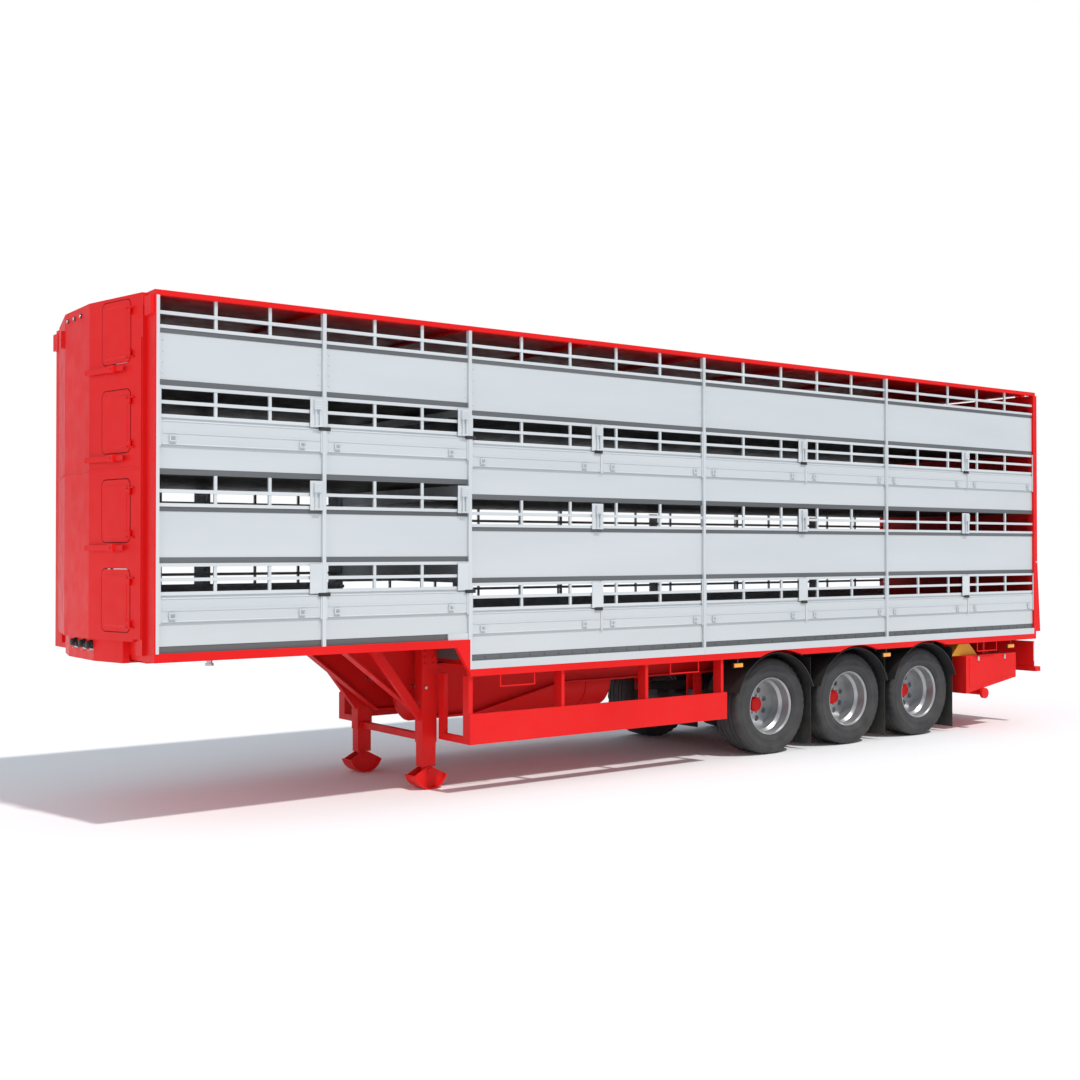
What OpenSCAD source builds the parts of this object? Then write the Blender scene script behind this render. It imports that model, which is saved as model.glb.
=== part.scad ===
// Four-deck livestock semi-trailer, millimetres.
// +X runs to the rear, +Z is up, the left side is at -Y.
// Inside the modules x is measured from the front corner of the body;
// every node is moved so that the origin is the centre of the footprint.

/* [Overall size] */
// length of the body, front corner posts to rear frame
body_length = 10790; // [8000:10:13600]
// width over the side posts
body_width = 2500; // [2200:10:2600]
// height of the roof above the ground
body_height = 4056; // [3400:1:4900]
// how far the folded nose stands ahead of the corner posts
nose_depth = 190; // [80:5:400]
// how far the ramp stands behind the rear frame
ramp_bulge = 100; // [80:5:200]
// how far the flap drives stand out of each side
drive_reach = 25; // [20:1:40]

/* [Decks] */
// x of the step between the raised front and the low rear body
step_x = 2713; // [2000:1:3600]
// top of the lowest floor over the neck
front_floor = 1404; // [1300:1:1600]
// top of the lowest floor behind the step
rear_floor = 1217; // [1150:1:1390]
// thickness of an upper deck
deck_t = 44; // [20:1:80]
// thickness of the lowest floors
floor_t = 54; // [30:1:80]
// height of the roof edge beam
roof_edge = 40; // [20:1:90]
// thickness of the roof sheet
roof_sheet = 20; // [8:1:40]

/* [Side walls] */
// width of a side post
post_w = 30; // [24:1:100]
// depth of a side post
post_d = 45; // [30:1:80]
// thickness of a wall panel
panel_t = 20; // [8:1:30]
// depth of a vent rail
rail_d = 27; // [10:1:32]
// depth of a deck edge channel
channel_d = 23; // [8:1:26]
// height of a vent, from the deck above to the underside of its lowest rail
vent_h = 240; // [150:1:300]
// height of one vent rail
rail_h = 26; // [12:1:40]
// height of the lip channel under the plain vents
lip_h = 35; // [15:1:60]
// width of the red corner post
corner_w = 12; // [12:1:100]
// width of the first light post beside the corner post
first_post = 25; // [10:1:60]
// upright bars in a front vent
front_bars = 2; // [1:1:6]
// upright bars in a rear vent
rear_bars = 4; // [1:1:8]

/* [Flaps and drives] */
// height of a flap
flap_h = 185; // [120:1:230]
// sheet thickness of a flap
flap_t = 4; // [2:0.5:8]
// free space behind and in front of a flap sheet
flap_gap = 0.5; // [0.2:0.1:3]
// gap at each end of a flap
flap_end = 5; // [2:0.5:10]
// drop of a flap's top below its vent
flap_drop = 18; // [8:1:40]
// lift that closes a flap
flap_lift = 220; // [100:1:230]
// width of a drive plate
plate_w = 127; // [80:1:200]
// thickness of a drive plate
plate_t = 6; // [3:0.5:12]

/* [Chassis] */
// underside of the neck rail
neck_z = 1284; // [1200:1:1330]
// underside of the rear side rail
belly_z = 1030; // [980:1:1080]
// height of the red rear rail
rear_rail_h = 63; // [40:1:90]
// distance of each main beam from the middle
beam_y = 440; // [380:1:480]
// width of a beam flange
flange_w = 130; // [80:1:160]
// thickness of a beam flange
flange_t = 16; // [8:1:25]
// thickness of a beam web
web_t = 14; // [8:1:30]
// underside of the beams over the axles
beam_low = 830; // [780:1:900]
// underside of the beams behind the step
beam_deep = 600; // [560:1:800]
// underside of the beams in the neck
beam_neck = 1240; // [1100:1:1250]
// x of the kingpin
kingpin_x = 900; // [500:10:1500]

/* [Landing gear] */
// gap between a leg and the step behind it
leg_back = 1; // [0.5:0.5:400]
// distance of each leg from the middle
leg_y = 616; // [560:1:900]
// leg housing, front to back
leg_w = 150; // [100:1:200]
// leg housing, side to side
leg_d = 124; // [90:1:160]
// wall of the leg housing
leg_wall = 6; // [4:0.5:10]
// clearance round the inner leg
leg_gap = 0.5; // [0.2:0.1:4]
// underside of the leg housing
leg_low = 410; // [380:1:700]
// radius of the rocker foot
foot_r = 165; // [120:1:175]
// radius of the foot pin
foot_pin = 15; // [10:0.5:25]
// travel of the legs
leg_travel = 200; // [100:1:230]
// radius of the gear shaft
shaft_r = 12; // [8:0.5:20]

/* [Axles and wheels] */
// x of the first axle
axle_x = 6442; // [5600:1:8000]
// distance between axles
axle_pitch = 1172; // [1100:1:1400]
// tyre radius
tyre_r = 498; // [420:1:520]
// tyre width
tyre_w = 385; // [280:1:400]
// outer face of the tyres from the middle
tyre_y = 1110; // [1050:1:1220]
// radius of the rim's outer lip
rim_r = 295; // [240:1:310]
// radius of a wheel spindle
spindle_r = 50; // [35:1:60]
// radius of an axle tube
axle_r = 63; // [50:1:70]
// running clearance of shafts and hinge pins
run = 0.05; // [0.01:0.01:0.1]
// seat gap between curved faces
seat = 0.3; // [0.1:0.1:0.8]

/* [Nose] */
// half width of the middle facet
nose_flat = 320; // [200:1:500]
// distance of the outer end of a side facet from the middle
nose_out = 1060; // [900:1:1150]
// x of the outer end of a side facet, ahead of the corner
nose_back = 30; // [20:1:80]
// thickness of the nose panels
nose_t = 30; // [10:1:40]
// underside of the nose
nose_z = 1450; // [1410:1:1500]
// width of a hatch
hatch_w = 400; // [300:1:450]
// height of a hatch
hatch_h = 475; // [300:1:500]
// thickness of a hatch
hatch_t = 12; // [6:1:20]
// gap round a hatch
hatch_gap = 4; // [2:0.5:8]
// radius of a hatch hinge pin
hinge_r = 5; // [3:0.5:8]

/* [Rear] */
// x thickness of the rear frame
frame_t = 39; // [20:1:80]
// width of a rear frame post
frame_w = 90; // [60:1:140]
// x thickness of the upper tailgate
gate_t = 44; // [20:1:60]
// height of the joint between ramp and tailgate
gate_z = 1975; // [1700:1:2600]
// radius of the ramp hinge pins
ramp_pin = 14; // [8:0.5:20]

/* [Hidden] */
$fn = 64;
half = body_width / 2;
leg_x = step_x - leg_back - leg_w / 2;     // x of the legs
eave = body_height - roof_edge;
lever_in = 26;      // lever back face from the facet
lever_t = 8;        // lever thickness
lever_tip = 12;     // lever end past the fold
nose_dx = nose_depth - nose_back;
nose_dy = nose_out - nose_flat;
facet_len = sqrt(nose_dx * nose_dx + nose_dy * nose_dy);
facet_turn = atan2(-nose_dy, nose_dx);
// forward reach of the lever tips, the foremost points
nose_reach = nose_depth + lever_tip * nose_dx / facet_len
           + (lever_in + lever_t) * nose_dy / facet_len;
x_front = -(body_length + ramp_bulge - nose_reach) / 2;
rear_post_x = body_length - frame_t;
front_bay = step_x / 2;
rear_bay = round((rear_post_x - step_x) / 0.3) / 10;
post_x = [0, front_bay, step_x, step_x + rear_bay,
          step_x + 2 * rear_bay, rear_post_x];
inner = half - post_d;                     // inner face of the side walls
front_pitch = round((body_height - front_floor) / 0.4) / 10;
rear_pitch = round((body_height - rear_floor - front_pitch) / 0.3) / 10;
rail_top = belly_z + rear_rail_h;          // joint of red rail and sill
rear_under = rear_floor - floor_t;         // underside of the rear floor
front_under = front_floor - floor_t;       // underside of the front floor
flap_in = inner + rail_d + flap_gap;   // back face of a flap
guide_in = flap_in + flap_t + flap_gap;    // back face of a flap guide
guide_out = guide_in + 7;                  // front face of a flap guide
plate_out = guide_out + plate_t;
drive_out = half + drive_reach;
wheel_in = tyre_y - tyre_w;
axle_z = tyre_r;
box_low = 1256;                            // underside of the coupling box
step_gap = 1;                              // side gap of a step panel
corner_in = max(corner_w, nose_t);         // front edge of the deck sides
hub_depth = 115;                           // spindle length inside a wheel
arm_z = axle_z + axle_r + 39;              // underside of an arm at its ends
arm_top = arm_z + 60;
hanger_dx = -500;                          // hanger pin ahead of the axle
spring_dx = 235;                           // air spring behind the axle
cross_pitch = axle_pitch / 2;
gear_z = 900;                              // height of the gear shaft
frame_low = belly_z;                       // underside of the rear frame
frame_top = 3930 - 4056 + body_height;     // underside of the rear header
door_half = half - 10;
ramp_low = 1120;                           // lower edge of the ramp
ramp_axis_x = body_length + 62;
ramp_axis_z = 1098;
gate_axis_x = body_length + gate_t + 16;
gate_axis_z = body_height - 18;

function bay_a(i) = i == 0 ? corner_w + first_post : post_x[i] + post_w / 2;
function bay_b(i) = i == 4 ? rear_post_x : post_x[i + 1] - post_w / 2;
function is_rear(i) = i >= 2;
function split_x(i) = (post_x[i] + post_x[i + 1]) / 2 + 80;
function deck_top(r, s) = r
    ? (s == 0 ? rear_floor : rear_floor + front_pitch + (s - 1) * rear_pitch)
    : front_floor + s * front_pitch;
function ceil_z(r, s) = s == 3 ? eave : deck_top(r, s + 1) - deck_t;
function has_flap(s) = s == 0 || s == 2;
function flap_top(r, s) = ceil_z(r, s) - vent_h - flap_drop;
function hatch_z(k) = front_floor + 98 + k * front_pitch * 1.029;

red = [0.80, 0.07, 0.07];
light = [0.86, 0.88, 0.90];
grey = [0.42, 0.44, 0.46];
dark = [0.10, 0.10, 0.11];
steel = [0.66, 0.67, 0.69];

// ---- helpers ----
module bx(x0, x1, y0, y1, z0, z1)
    translate([x0, y0, z0]) cube([x1 - x0, y1 - y0, z1 - z0]);
module both() { children(); mirror([0, 1, 0]) children(); }
module placed() translate([x_front, 0, 0]) children();
// outline in x and z drawn through the thickness y0..y1
module side_plate(y0, y1, pts)
    translate([0, y1, 0]) rotate([90, 0, 0])
        linear_extrude(height = y1 - y0) polygon(pts);
// cylinder along Y
module yrod(x, z, y0, y1, r)
    translate([x, y1, z]) rotate([90, 0, 0]) cylinder(h = y1 - y0, r = r);
// cylinder along X
module xrod(x0, x1, y, z, r)
    translate([x0, y, z]) rotate([0, 90, 0]) cylinder(h = x1 - x0, r = r);
module rounded(w, h, r) {
    translate([r, 0]) square([w - 2 * r, h]);
    translate([0, r]) square([w, h - 2 * r]);
    for (x = [r, w - r]) for (y = [r, h - r]) translate([x, y]) circle(r = r);
}
// left facet of the nose: local x from the fold outwards, -y outside
module on_facet()
    translate([-nose_depth, -nose_flat, 0]) rotate([0, 0, facet_turn])
        children();

// ---- chassis ----
module beam_piece(low0, low1, x0, x1, top)
    both() {
        side_plate(beam_y - web_t / 2, beam_y + web_t / 2,
            [[x0, low0 + flange_t], [x1, low1 + flange_t],
             [x1, top - flange_t], [x0, top - flange_t]]);
        bx(x0, x1, beam_y - flange_w / 2, beam_y + flange_w / 2,
           top - flange_t, top);
        side_plate(beam_y - flange_w / 2, beam_y + flange_w / 2,
            [[x0, low0], [x1, low1],
             [x1, low1 + flange_t], [x0, low0 + flange_t]]);
    }
module main_beams() color(red) placed() {
    slope_x = step_x - 813;
    beam_piece(beam_neck, beam_neck, 60, slope_x, neck_z);
    difference() {
        beam_piece(beam_neck, beam_deep, slope_x, step_x - 30, neck_z);
        yrod(leg_x - 38, gear_z, -half, half, shaft_r + 4);
    }
    beam_piece(beam_deep, beam_deep, step_x - 30, step_x + 500, rail_top);
    beam_piece(beam_deep, beam_low, step_x + 500, step_x + 1500, rail_top);
    beam_piece(beam_low, beam_low, step_x + 1500, rear_post_x - 6, rail_top);
    // coupler plate under the neck
    difference() {
        bx(kingpin_x - 700, kingpin_x + 700, -beam_y - 60, beam_y + 60,
           beam_neck - 14, beam_neck);
        translate([kingpin_x, 0, beam_neck - 20])
            cylinder(h = 30, r = 36.5 + seat);
    }
    // leg seats
    both() bx(leg_x - 40, leg_x + 40, beam_y + flange_w / 2,
              leg_y - leg_d / 2, neck_z - 120, neck_z);
    // suspension hangers with their pins
    for (k = [0:2]) both() translate([axle_x + k * axle_pitch + hanger_dx,
                                      beam_y, 0]) {
        for (s = [-1, 1]) translate([0, s * 53, 0])
            bx(-55, 55, -6, 6, arm_z - 12, beam_low);
        yrod(0, arm_z + 30, -47, 47, 20);
    }
}
module cross_members() color(red) placed() {
    for (x = [330, kingpin_x, 1480, 2060, leg_x])
        bx(x - 30, x + 30, -half + 60, half - 60, neck_z, front_under);
    n0 = floor((axle_x - step_x - 90) / cross_pitch);
    n1 = floor((rear_post_x - 100 - axle_x) / cross_pitch);
    for (k = [-n0:n1])
        bx(axle_x + k * cross_pitch - 30, axle_x + k * cross_pitch + 30,
           -inner, inner, rail_top, rear_under);
}
module side_rails() color(red) placed() both() {
    bx(corner_w, step_x, half - 60, half, neck_z, front_under);
    side_plate(half - 50, half, [[step_x - 133, neck_z],
        [step_x, neck_z - 224], [step_x, neck_z]]);
    difference() {
        bx(step_x, rear_post_x, half - 60, half, belly_z, rail_top);
        for (k = [0:2])
            yrod(axle_x + k * axle_pitch, belly_z - 742, half - 70, half + 10,
                 800);
    }
    for (x = [[step_x + 311, step_x + 669], [step_x + 2245, step_x + 2601],
              [body_length - 1135, body_length - 775]]) {
        for (i = [0, 1]) translate([x[i], half - 10, belly_z - 102])
            cylinder(h = 102, r = 6);
        xrod(x[0] - 6, x[1] + 6, half - 10, belly_z - 102, 6);
    }
}
module kingpin() color(steel) placed() translate([kingpin_x, 0, 0]) {
    translate([0, 0, beam_neck - 49]) cylinder(h = 49 + 16, r = 36.5);
    translate([0, 0, beam_neck - 77]) cylinder(h = 29, r = 25.4);
    translate([0, 0, beam_neck - 98]) cylinder(h = 21, r = 35.75);
}

// ---- landing gear ----
module leg_housings() color(red) placed() {
    both() {
        difference() {
            bx(leg_x - leg_w / 2, leg_x + leg_w / 2, leg_y - leg_d / 2,
               leg_y + leg_d / 2, leg_low, neck_z);
            bx(leg_x - leg_w / 2 + leg_wall, leg_x + leg_w / 2 - leg_wall,
               leg_y - leg_d / 2 + leg_wall, leg_y + leg_d / 2 - leg_wall,
               leg_low - 1, gear_z - 60);
            bx(leg_x - 1, leg_x + leg_w / 2 - leg_wall,
               leg_y - leg_d / 2 + leg_wall, leg_y + leg_d / 2 - leg_wall,
               gear_z - 61, neck_z - 30);
            yrod(leg_x - 38, gear_z, leg_y - leg_d, leg_y + leg_d,
                 shaft_r + run);
        }
        side_plate(leg_y - 30, leg_y + 30, [[leg_x - 588, neck_z],
            [leg_x - leg_w / 2, neck_z - 684],
            [leg_x - leg_w / 2, neck_z - 573], [leg_x - 491, neck_z]]);
    }
    bx(leg_x - 28, leg_x + 28, -leg_y + leg_d / 2, leg_y - leg_d / 2,
       leg_low + 10, leg_low + 70);
}
module inner_leg() placed() difference() {
    union() {
        bx(leg_x - leg_w / 2 + leg_wall + leg_gap,
           leg_x + leg_w / 2 - leg_wall - leg_gap,
           leg_y - leg_d / 2 + leg_wall + leg_gap,
           leg_y + leg_d / 2 - leg_wall - leg_gap,
           foot_r + 30, gear_z - 65 - leg_travel);
        bx(leg_x - 30, leg_x + 30, leg_y - 30, leg_y + 30,
           foot_r - 26, foot_r + 31);
    }
    yrod(leg_x, foot_r, leg_y - 40, leg_y + 40, foot_pin + run);
}
module inner_leg_left() color(red) mirror([0, 1, 0]) inner_leg();
module inner_leg_right() color(red) inner_leg();
module foot() placed() translate([leg_x, leg_y, foot_r]) {
    rotate([90, 0, 0]) translate([0, 0, -100]) linear_extrude(height = 200)
        intersection() {
            difference() { circle(r = foot_r); circle(r = foot_r - 14); }
            polygon([[0, 0], [-2 * foot_r, -0.54 * foot_r],
                [-2 * foot_r, -2 * foot_r], [2 * foot_r, -2 * foot_r],
                [2 * foot_r, -0.54 * foot_r]]);
        }
    for (s = [-66, 66]) translate([0, s + 4, 0]) rotate([90, 0, 0])
        linear_extrude(height = 8) intersection() {
            circle(r = foot_r - 7);
            polygon([[-28, 30], [-foot_r, -0.27 * foot_r],
                [-foot_r, -foot_r], [foot_r, -foot_r],
                [foot_r, -0.27 * foot_r], [28, 30]]);
        }
    yrod(0, 0, -78, 78, foot_pin);
}
module foot_left() color(red) mirror([0, 1, 0]) foot();
module foot_right() color(red) foot();
module leg_shaft() color(steel) placed() {
    out = leg_y + leg_d / 2;
    yrod(leg_x - 38, gear_z, -out - 14, out + 14, shaft_r);
    for (s = [-1, 1]) yrod(leg_x - 38, gear_z, s * 60 - 40, s * 60 + 40,
                           shaft_r + 14);
}

// ---- under-body fittings ----
module side_guards() color(red) placed() both() {
    post_w2 = 33;
    g1 = step_x + 2969;
    bx(step_x - 4, g1, half - 24, half, 440, 705);
    bx(step_x - 3, step_x + 37, half - 120, half - 24, 440, belly_z);
    for (x = [step_x + 974, step_x + 1948, step_x + 2909])
        bx(x, x + post_w2, half - 140, half - 24, 440, belly_z);
    // box frame ahead of the guard
    bx(step_x - 3, step_x + 37, 714, half - 120, 440, 500);
    bx(step_x - 3, step_x + 37, 714, 807, 500, belly_z);
}
module water_tank() color(red) placed() {
    r = 270; z0 = 800; x0 = step_x + 80; x1 = step_x + 2240;
    xrod(x0, x1, 0, z0, r);
    // dished ends
    for (e = [[x0, -90], [x1, 90]]) translate([e[0], 0, z0])
        rotate([0, e[1], 0]) rotate_extrude() polygon(concat([[0, 0]],
            [for (a = [0:10:90]) [r * cos(a), 75 * sin(a)]]));
    for (k = [0, 1, 2]) {
        x = axle_x - (5 - 2 * k) * cross_pitch + 0;
        if (x > x0 + 40 && x < x1 - 40) difference() {
            union() {
                xrod(x - 30, x + 30, 0, z0, r + 8);
                bx(x - 30, x + 30, -40, 40, z0 + r, rail_top);
            }
            xrod(x - 31, x + 31, 0, z0, r + seat);
        }
    }
}
module tool_boxes() color(red) placed() both() {
    x0 = body_length - 1295; x1 = body_length - 345; top = 875;
    side_plate(700, half - 50,
        [[x0, 435], [x1, 580], [x1, top], [x0, top]]);
    xh = axle_x + round((x0 + 460 - axle_x) / cross_pitch) * cross_pitch;
    bx(xh - 18, xh + 18, 800, 1100, top, rail_top);
    // tube below the box with its end cap
    xt = x0 + 310;
    zt = 425;
    rise = 145 / (x1 - x0);
    for (y = [760, 1120]) side_plate(y, y + 40, [[xt - 20, zt],
        [xt + 20, zt], [xt + 20, 435 + (xt + 20 - x0) * rise],
        [xt - 20, 435 + (xt - 20 - x0) * rise]]);
    yrod(xt, zt, 705, half - 50, 26);
    yrod(xt, zt, half - 50, half - 12, 62);
}
module wheel_chocks() color([0.93, 0.60, 0.04]) placed() both() {
    x0 = body_length - 1450;
    side_plate(985, 1110, [[x0, 875], [x0 + 470, 875], [x0 + 330, 1010],
                           [x0 + 130, 1010]]);
}
module mudguards() color(dark) placed() both() for (k = [0:2])
    translate([axle_x + k * axle_pitch, 0, axle_z]) {
        translate([0, 1186, 0]) rotate([90, 0, 0])
            linear_extrude(height = 486) intersection() {
                difference() { circle(r = tyre_r + 64); circle(r = tyre_r + 57); }
                polygon([[0, 0], [700, 230], [700, 700], [-700, 700],
                         [-700, 230]]);
            }
        bx(-20, 20, 900, 960, tyre_r + 60, rail_top - axle_z);
    }
module mud_flaps() color(dark) placed() both() for (k = [0:2])
    translate([axle_x + k * axle_pitch + tyre_r + 40, 0, 0]) {
        bx(0, 5, 705, 1130, 60, 985);
        bx(5, 40, 860, 980, 900, rail_top);
    }
module marker_lamps() {
    color([1, 0.5, 0.1]) placed() {
        both() for (x = [axle_x - 583, axle_x + 1640, body_length - 474]) {
            bx(x - 65, x + 65, half - 42, half - 20, 935, 985);
            bx(x - 8, x + 8, half - 42, half - 30, 985, belly_z);
        }
        for (y = [-105, 65, 235])
            translate([-nose_depth, y, body_height - 70])
                rotate([0, -90, 0]) cylinder(h = 12, r = 17);
    }
}
module rear_bumper() color(red) placed() {
    bx(rear_post_x - 6, rear_post_x + 14, -half + 10, half - 10, 740, 1000);
    bx(rear_post_x + 0, rear_post_x + 14, -half + 10, half - 10, 690, 740);
    bx(rear_post_x - 6, rear_post_x + 94, -half - 20, half + 20, 632, 690);
}
module rear_lamps() color([0.6, 0.05, 0.05]) placed() both()
    bx(rear_post_x + 14, rear_post_x + 44, 820, 1200, 800, 930);

// ---- running gear ----
module axle_beams() color(dark) placed() for (k = [0:2])
    translate([axle_x + k * axle_pitch, 0, 0]) {
        yrod(0, axle_z, -wheel_in + 25, wheel_in - 25, axle_r);
        both() yrod(0, axle_z, wheel_in - 26, wheel_in + hub_depth,
                    spindle_r);
    }
module trailing_arms() color(dark) placed() for (k = [0:2]) both()
    translate([axle_x + k * axle_pitch, 0, 0]) difference() {
        union() {
            side_plate(beam_y - 45, beam_y + 45, [[-545, arm_z],
                [-100, axle_z + axle_r], [100, axle_z + axle_r],
                [355, arm_z], [355, arm_top], [-545, arm_top]]);
            bx(-80, 80, beam_y - 45, beam_y + 45, axle_z, axle_z + axle_r + 5);
        }
        yrod(0, axle_z, beam_y - 50, beam_y + 50, axle_r + seat);
        yrod(hanger_dx, arm_z + 30, beam_y - 50, beam_y + 50, 20 + run);
    }
module air_springs() color(dark) placed() for (k = [0:2]) both()
    translate([axle_x + k * axle_pitch + spring_dx, beam_y, arm_top])
        rotate_extrude() polygon([[0, 0], [82, 0], [82, 45], [112, 60],
            [118, 80], [112, 100], [104, 106], [112, 112], [118, 130],
            [100, 152], [70, 158], [70, beam_low - arm_top],
            [0, beam_low - arm_top]]);
module wheel_at(side, k) placed()
    translate([axle_x + k * axle_pitch, 0, axle_z])
        mirror([0, side > 0 ? 1 : 0, 0]) translate([0, -wheel_in, 0])
            rotate([90, 0, 0]) children();
module rim_shape() difference() {
    rr = rim_r; w = tyre_w;
    rotate_extrude() polygon([[0, 0], [200, 0], [200, 72], [228, 80],
        [rr - 46, 80], [rr - 46, 78], [rr - 18, 66], [rr - 18, 36],
        [rr - 6, 30], [rr, 30], [rr, 38], [rr - 12, 40], [rr - 12, 72],
        [rr - 40, 84], [rr - 40, w - 175], [rr - 12, w - 149],
        [rr - 12, w - 48], [rr, w - 44], [rr, w - 28], [rr - 6, w - 28],
        [rr - 18, w - 44], [rr - 18, w - 145], [rr - 46, w - 171],
        [rr - 46, 92], [110, 92], [110, 104], [76, 104], [76, 120],
        [70, 140], [0, 140]]);
    translate([0, 0, -1]) cylinder(h = hub_depth + 6, r = spindle_r + run);
    for (a = [0:7]) rotate([0, 0, a * 45 + 17])
        translate([160, 0, 50]) cylinder(h = 60, r = 30);
}
module tyre_shape() rotate_extrude() {
    b = rim_r - 12 + seat; f = rim_r + 2 * seat;
    t = tyre_r; w = tyre_w; g = 14;
    polygon([[b, 72], [b, 43], [f, 41], [f, 30], [rim_r + 14, 14],
        [360, 2], [420, 0], [t - 32, 6], [t - 12, 22], [t, 48],
        [t, 84], [t - g, 87], [t - g, 96], [t, 99],
        [t, 150], [t - g, 153], [t - g, 162], [t, 165],
        [t, w - 165], [t - g, w - 162], [t - g, w - 153], [t, w - 150],
        [t, w - 99], [t - g, w - 96], [t - g, w - 87], [t, w - 84],
        [t, w - 48], [t - 12, w - 22], [t - 32, w - 6], [420, w],
        [360, w - 2], [rim_r + 14, w - 12], [f, w - 26], [f, w - 46],
        [b, w - 51], [b, w - 80], [b + 26, w - 60], [370, w - 24],
        [440, w - 28], [t - 42, w - 54], [t - 34, w / 2], [t - 42, 54],
        [440, 28], [370, 24], [b + 26, 54]]);
}
module wheel_left_1() color(steel) wheel_at(-1, 0) rim_shape();
module wheel_left_2() color(steel) wheel_at(-1, 1) rim_shape();
module wheel_left_3() color(steel) wheel_at(-1, 2) rim_shape();
module wheel_right_1() color(steel) wheel_at(1, 0) rim_shape();
module wheel_right_2() color(steel) wheel_at(1, 1) rim_shape();
module wheel_right_3() color(steel) wheel_at(1, 2) rim_shape();
module tyre_left_1() color(dark) wheel_at(-1, 0) tyre_shape();
module tyre_left_2() color(dark) wheel_at(-1, 1) tyre_shape();
module tyre_left_3() color(dark) wheel_at(-1, 2) tyre_shape();
module tyre_right_1() color(dark) wheel_at(1, 0) tyre_shape();
module tyre_right_2() color(dark) wheel_at(1, 1) tyre_shape();
module tyre_right_3() color(dark) wheel_at(1, 2) tyre_shape();

// ---- body ----
module nose_slab(z0, z1)
    translate([0, 0, z0]) linear_extrude(height = z1 - z0)
        polygon([[-nose_depth + nose_t, -nose_flat],
            [-nose_depth + nose_t, nose_flat],
            [-nose_back + nose_t, nose_out],
            [-nose_back + nose_t, -nose_out]]);
module floor() color(grey) placed() {
    bx(0, step_x + 30, -nose_out, nose_out, front_under, front_floor);
    both() bx(corner_in, step_x + 30, nose_out, inner, front_under,
              front_floor);
    bx(step_x + 30, rear_post_x, -inner, inner, rear_under, rear_floor);
    bx(step_x, step_x + 30, -inner, inner, rear_under, front_under);
}
module upper_decks() color(grey) placed() for (s = [1:3]) {
    f = deck_top(false, s); r = deck_top(true, s);
    nose_slab(f - deck_t, f);
    bx(0, step_x + 30, -nose_out, nose_out, f - deck_t, f);
    both() bx(corner_in, step_x + 30, nose_out, inner, f - deck_t, f);
    bx(step_x + 30, rear_post_x, -inner, inner, r - deck_t, r);
}
module side_posts() color(light) placed() both() {
    bx(corner_w, corner_w + first_post, inner, half, front_under, eave);
    bx(post_x[1] - post_w / 2, post_x[1] + post_w / 2, inner, half,
       front_under, eave);
    bx(step_x - post_w / 2, step_x + post_w / 2, inner, half,
       front_under, eave);
    bx(step_x, step_x + post_w / 2, inner, half, rail_top, front_under);
    for (i = [3, 4])
        bx(post_x[i] - post_w / 2, post_x[i] + post_w / 2, inner, half,
           rail_top, eave);
    // foot plate ahead of the step
    bx(step_x - 213, step_x - post_w / 2, inner, half - 10, front_under,
       front_floor);
    // flap guides
    for (i = [0:4]) for (s = [0, 2]) {
        r = is_rear(i);
        z0 = flap_top(r, s) - flap_h - 10;
        z1 = ceil_z(r, s);
        bx(bay_a(i), bay_a(i) + 14, guide_in, guide_out, z0, z1);
        bx(bay_b(i) - 14, bay_b(i), guide_in, guide_out, z0, z1);
        if (r) {
            bx(split_x(i) - 3, split_x(i) + 3, inner + rail_d, guide_in,
               z0, z1);
            bx(split_x(i) - 12, split_x(i) + 12, guide_in, guide_out,
               z0, z1);
        }
    }
}
module side_channels() color(grey) placed() both() for (i = [0:4]) {
    r = is_rear(i);
    for (s = [1:3])
        bx(bay_a(i), bay_b(i), inner, inner + channel_d,
           deck_top(r, s) - deck_t, deck_top(r, s));
    for (s = [1, 3])
        bx(bay_a(i), bay_b(i), inner, inner + channel_d,
           ceil_z(r, s) - vent_h - lip_h, ceil_z(r, s) - vent_h);
    if (r) bx(bay_a(i), bay_b(i), inner, inner + panel_t - 4,
              rear_under, rear_floor);
    else bx(bay_a(i), i == 1 ? step_x - 213 : bay_b(i), inner,
            inner + panel_t - 4, front_under, front_floor);
}
module sill_rails() color(light) placed() both()
    for (i = [2:4]) bx(bay_a(i), bay_b(i), inner, half, rail_top, rear_under);
module wall_panels() color(light) placed() {
    both() for (i = [0:4]) {
        r = is_rear(i);
        for (s = [0:3])
            bx(bay_a(i), bay_b(i), inner, inner + panel_t, deck_top(r, s),
               ceil_z(r, s) - vent_h - (has_flap(s) ? 0 : lip_h));
    }
    // panels that close the step between the two deck levels
    for (s = [1:3])
        bx(step_x, step_x + 30, -inner + step_gap, inner - step_gap,
           deck_top(true, s) - deck_t, deck_top(false, s) - deck_t);
}
module vent_rails() color(light) placed() both() for (i = [0:4]) {
    r = is_rear(i);
    n = r ? rear_bars : front_bars;
    a = bay_a(i); b = bay_b(i);
    for (s = [0:3]) {
        c = ceil_z(r, s);
        if (has_flap(s)) bx(a, b, inner, inner + rail_d, c - rail_h, c);
        bx(a, b, inner, inner + rail_d, c - 110 - rail_h, c - 110);
        bx(a, b, inner, inner + rail_d, c - vent_h, c - vent_h + rail_h);
        for (k = [1:n]) {
            x = a + k * (b - a) / (n + 1);
            bx(x - 12, x + 12, inner + 4, inner + rail_d - 4,
               c - vent_h + 1, c);
        }
    }
}
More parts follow.
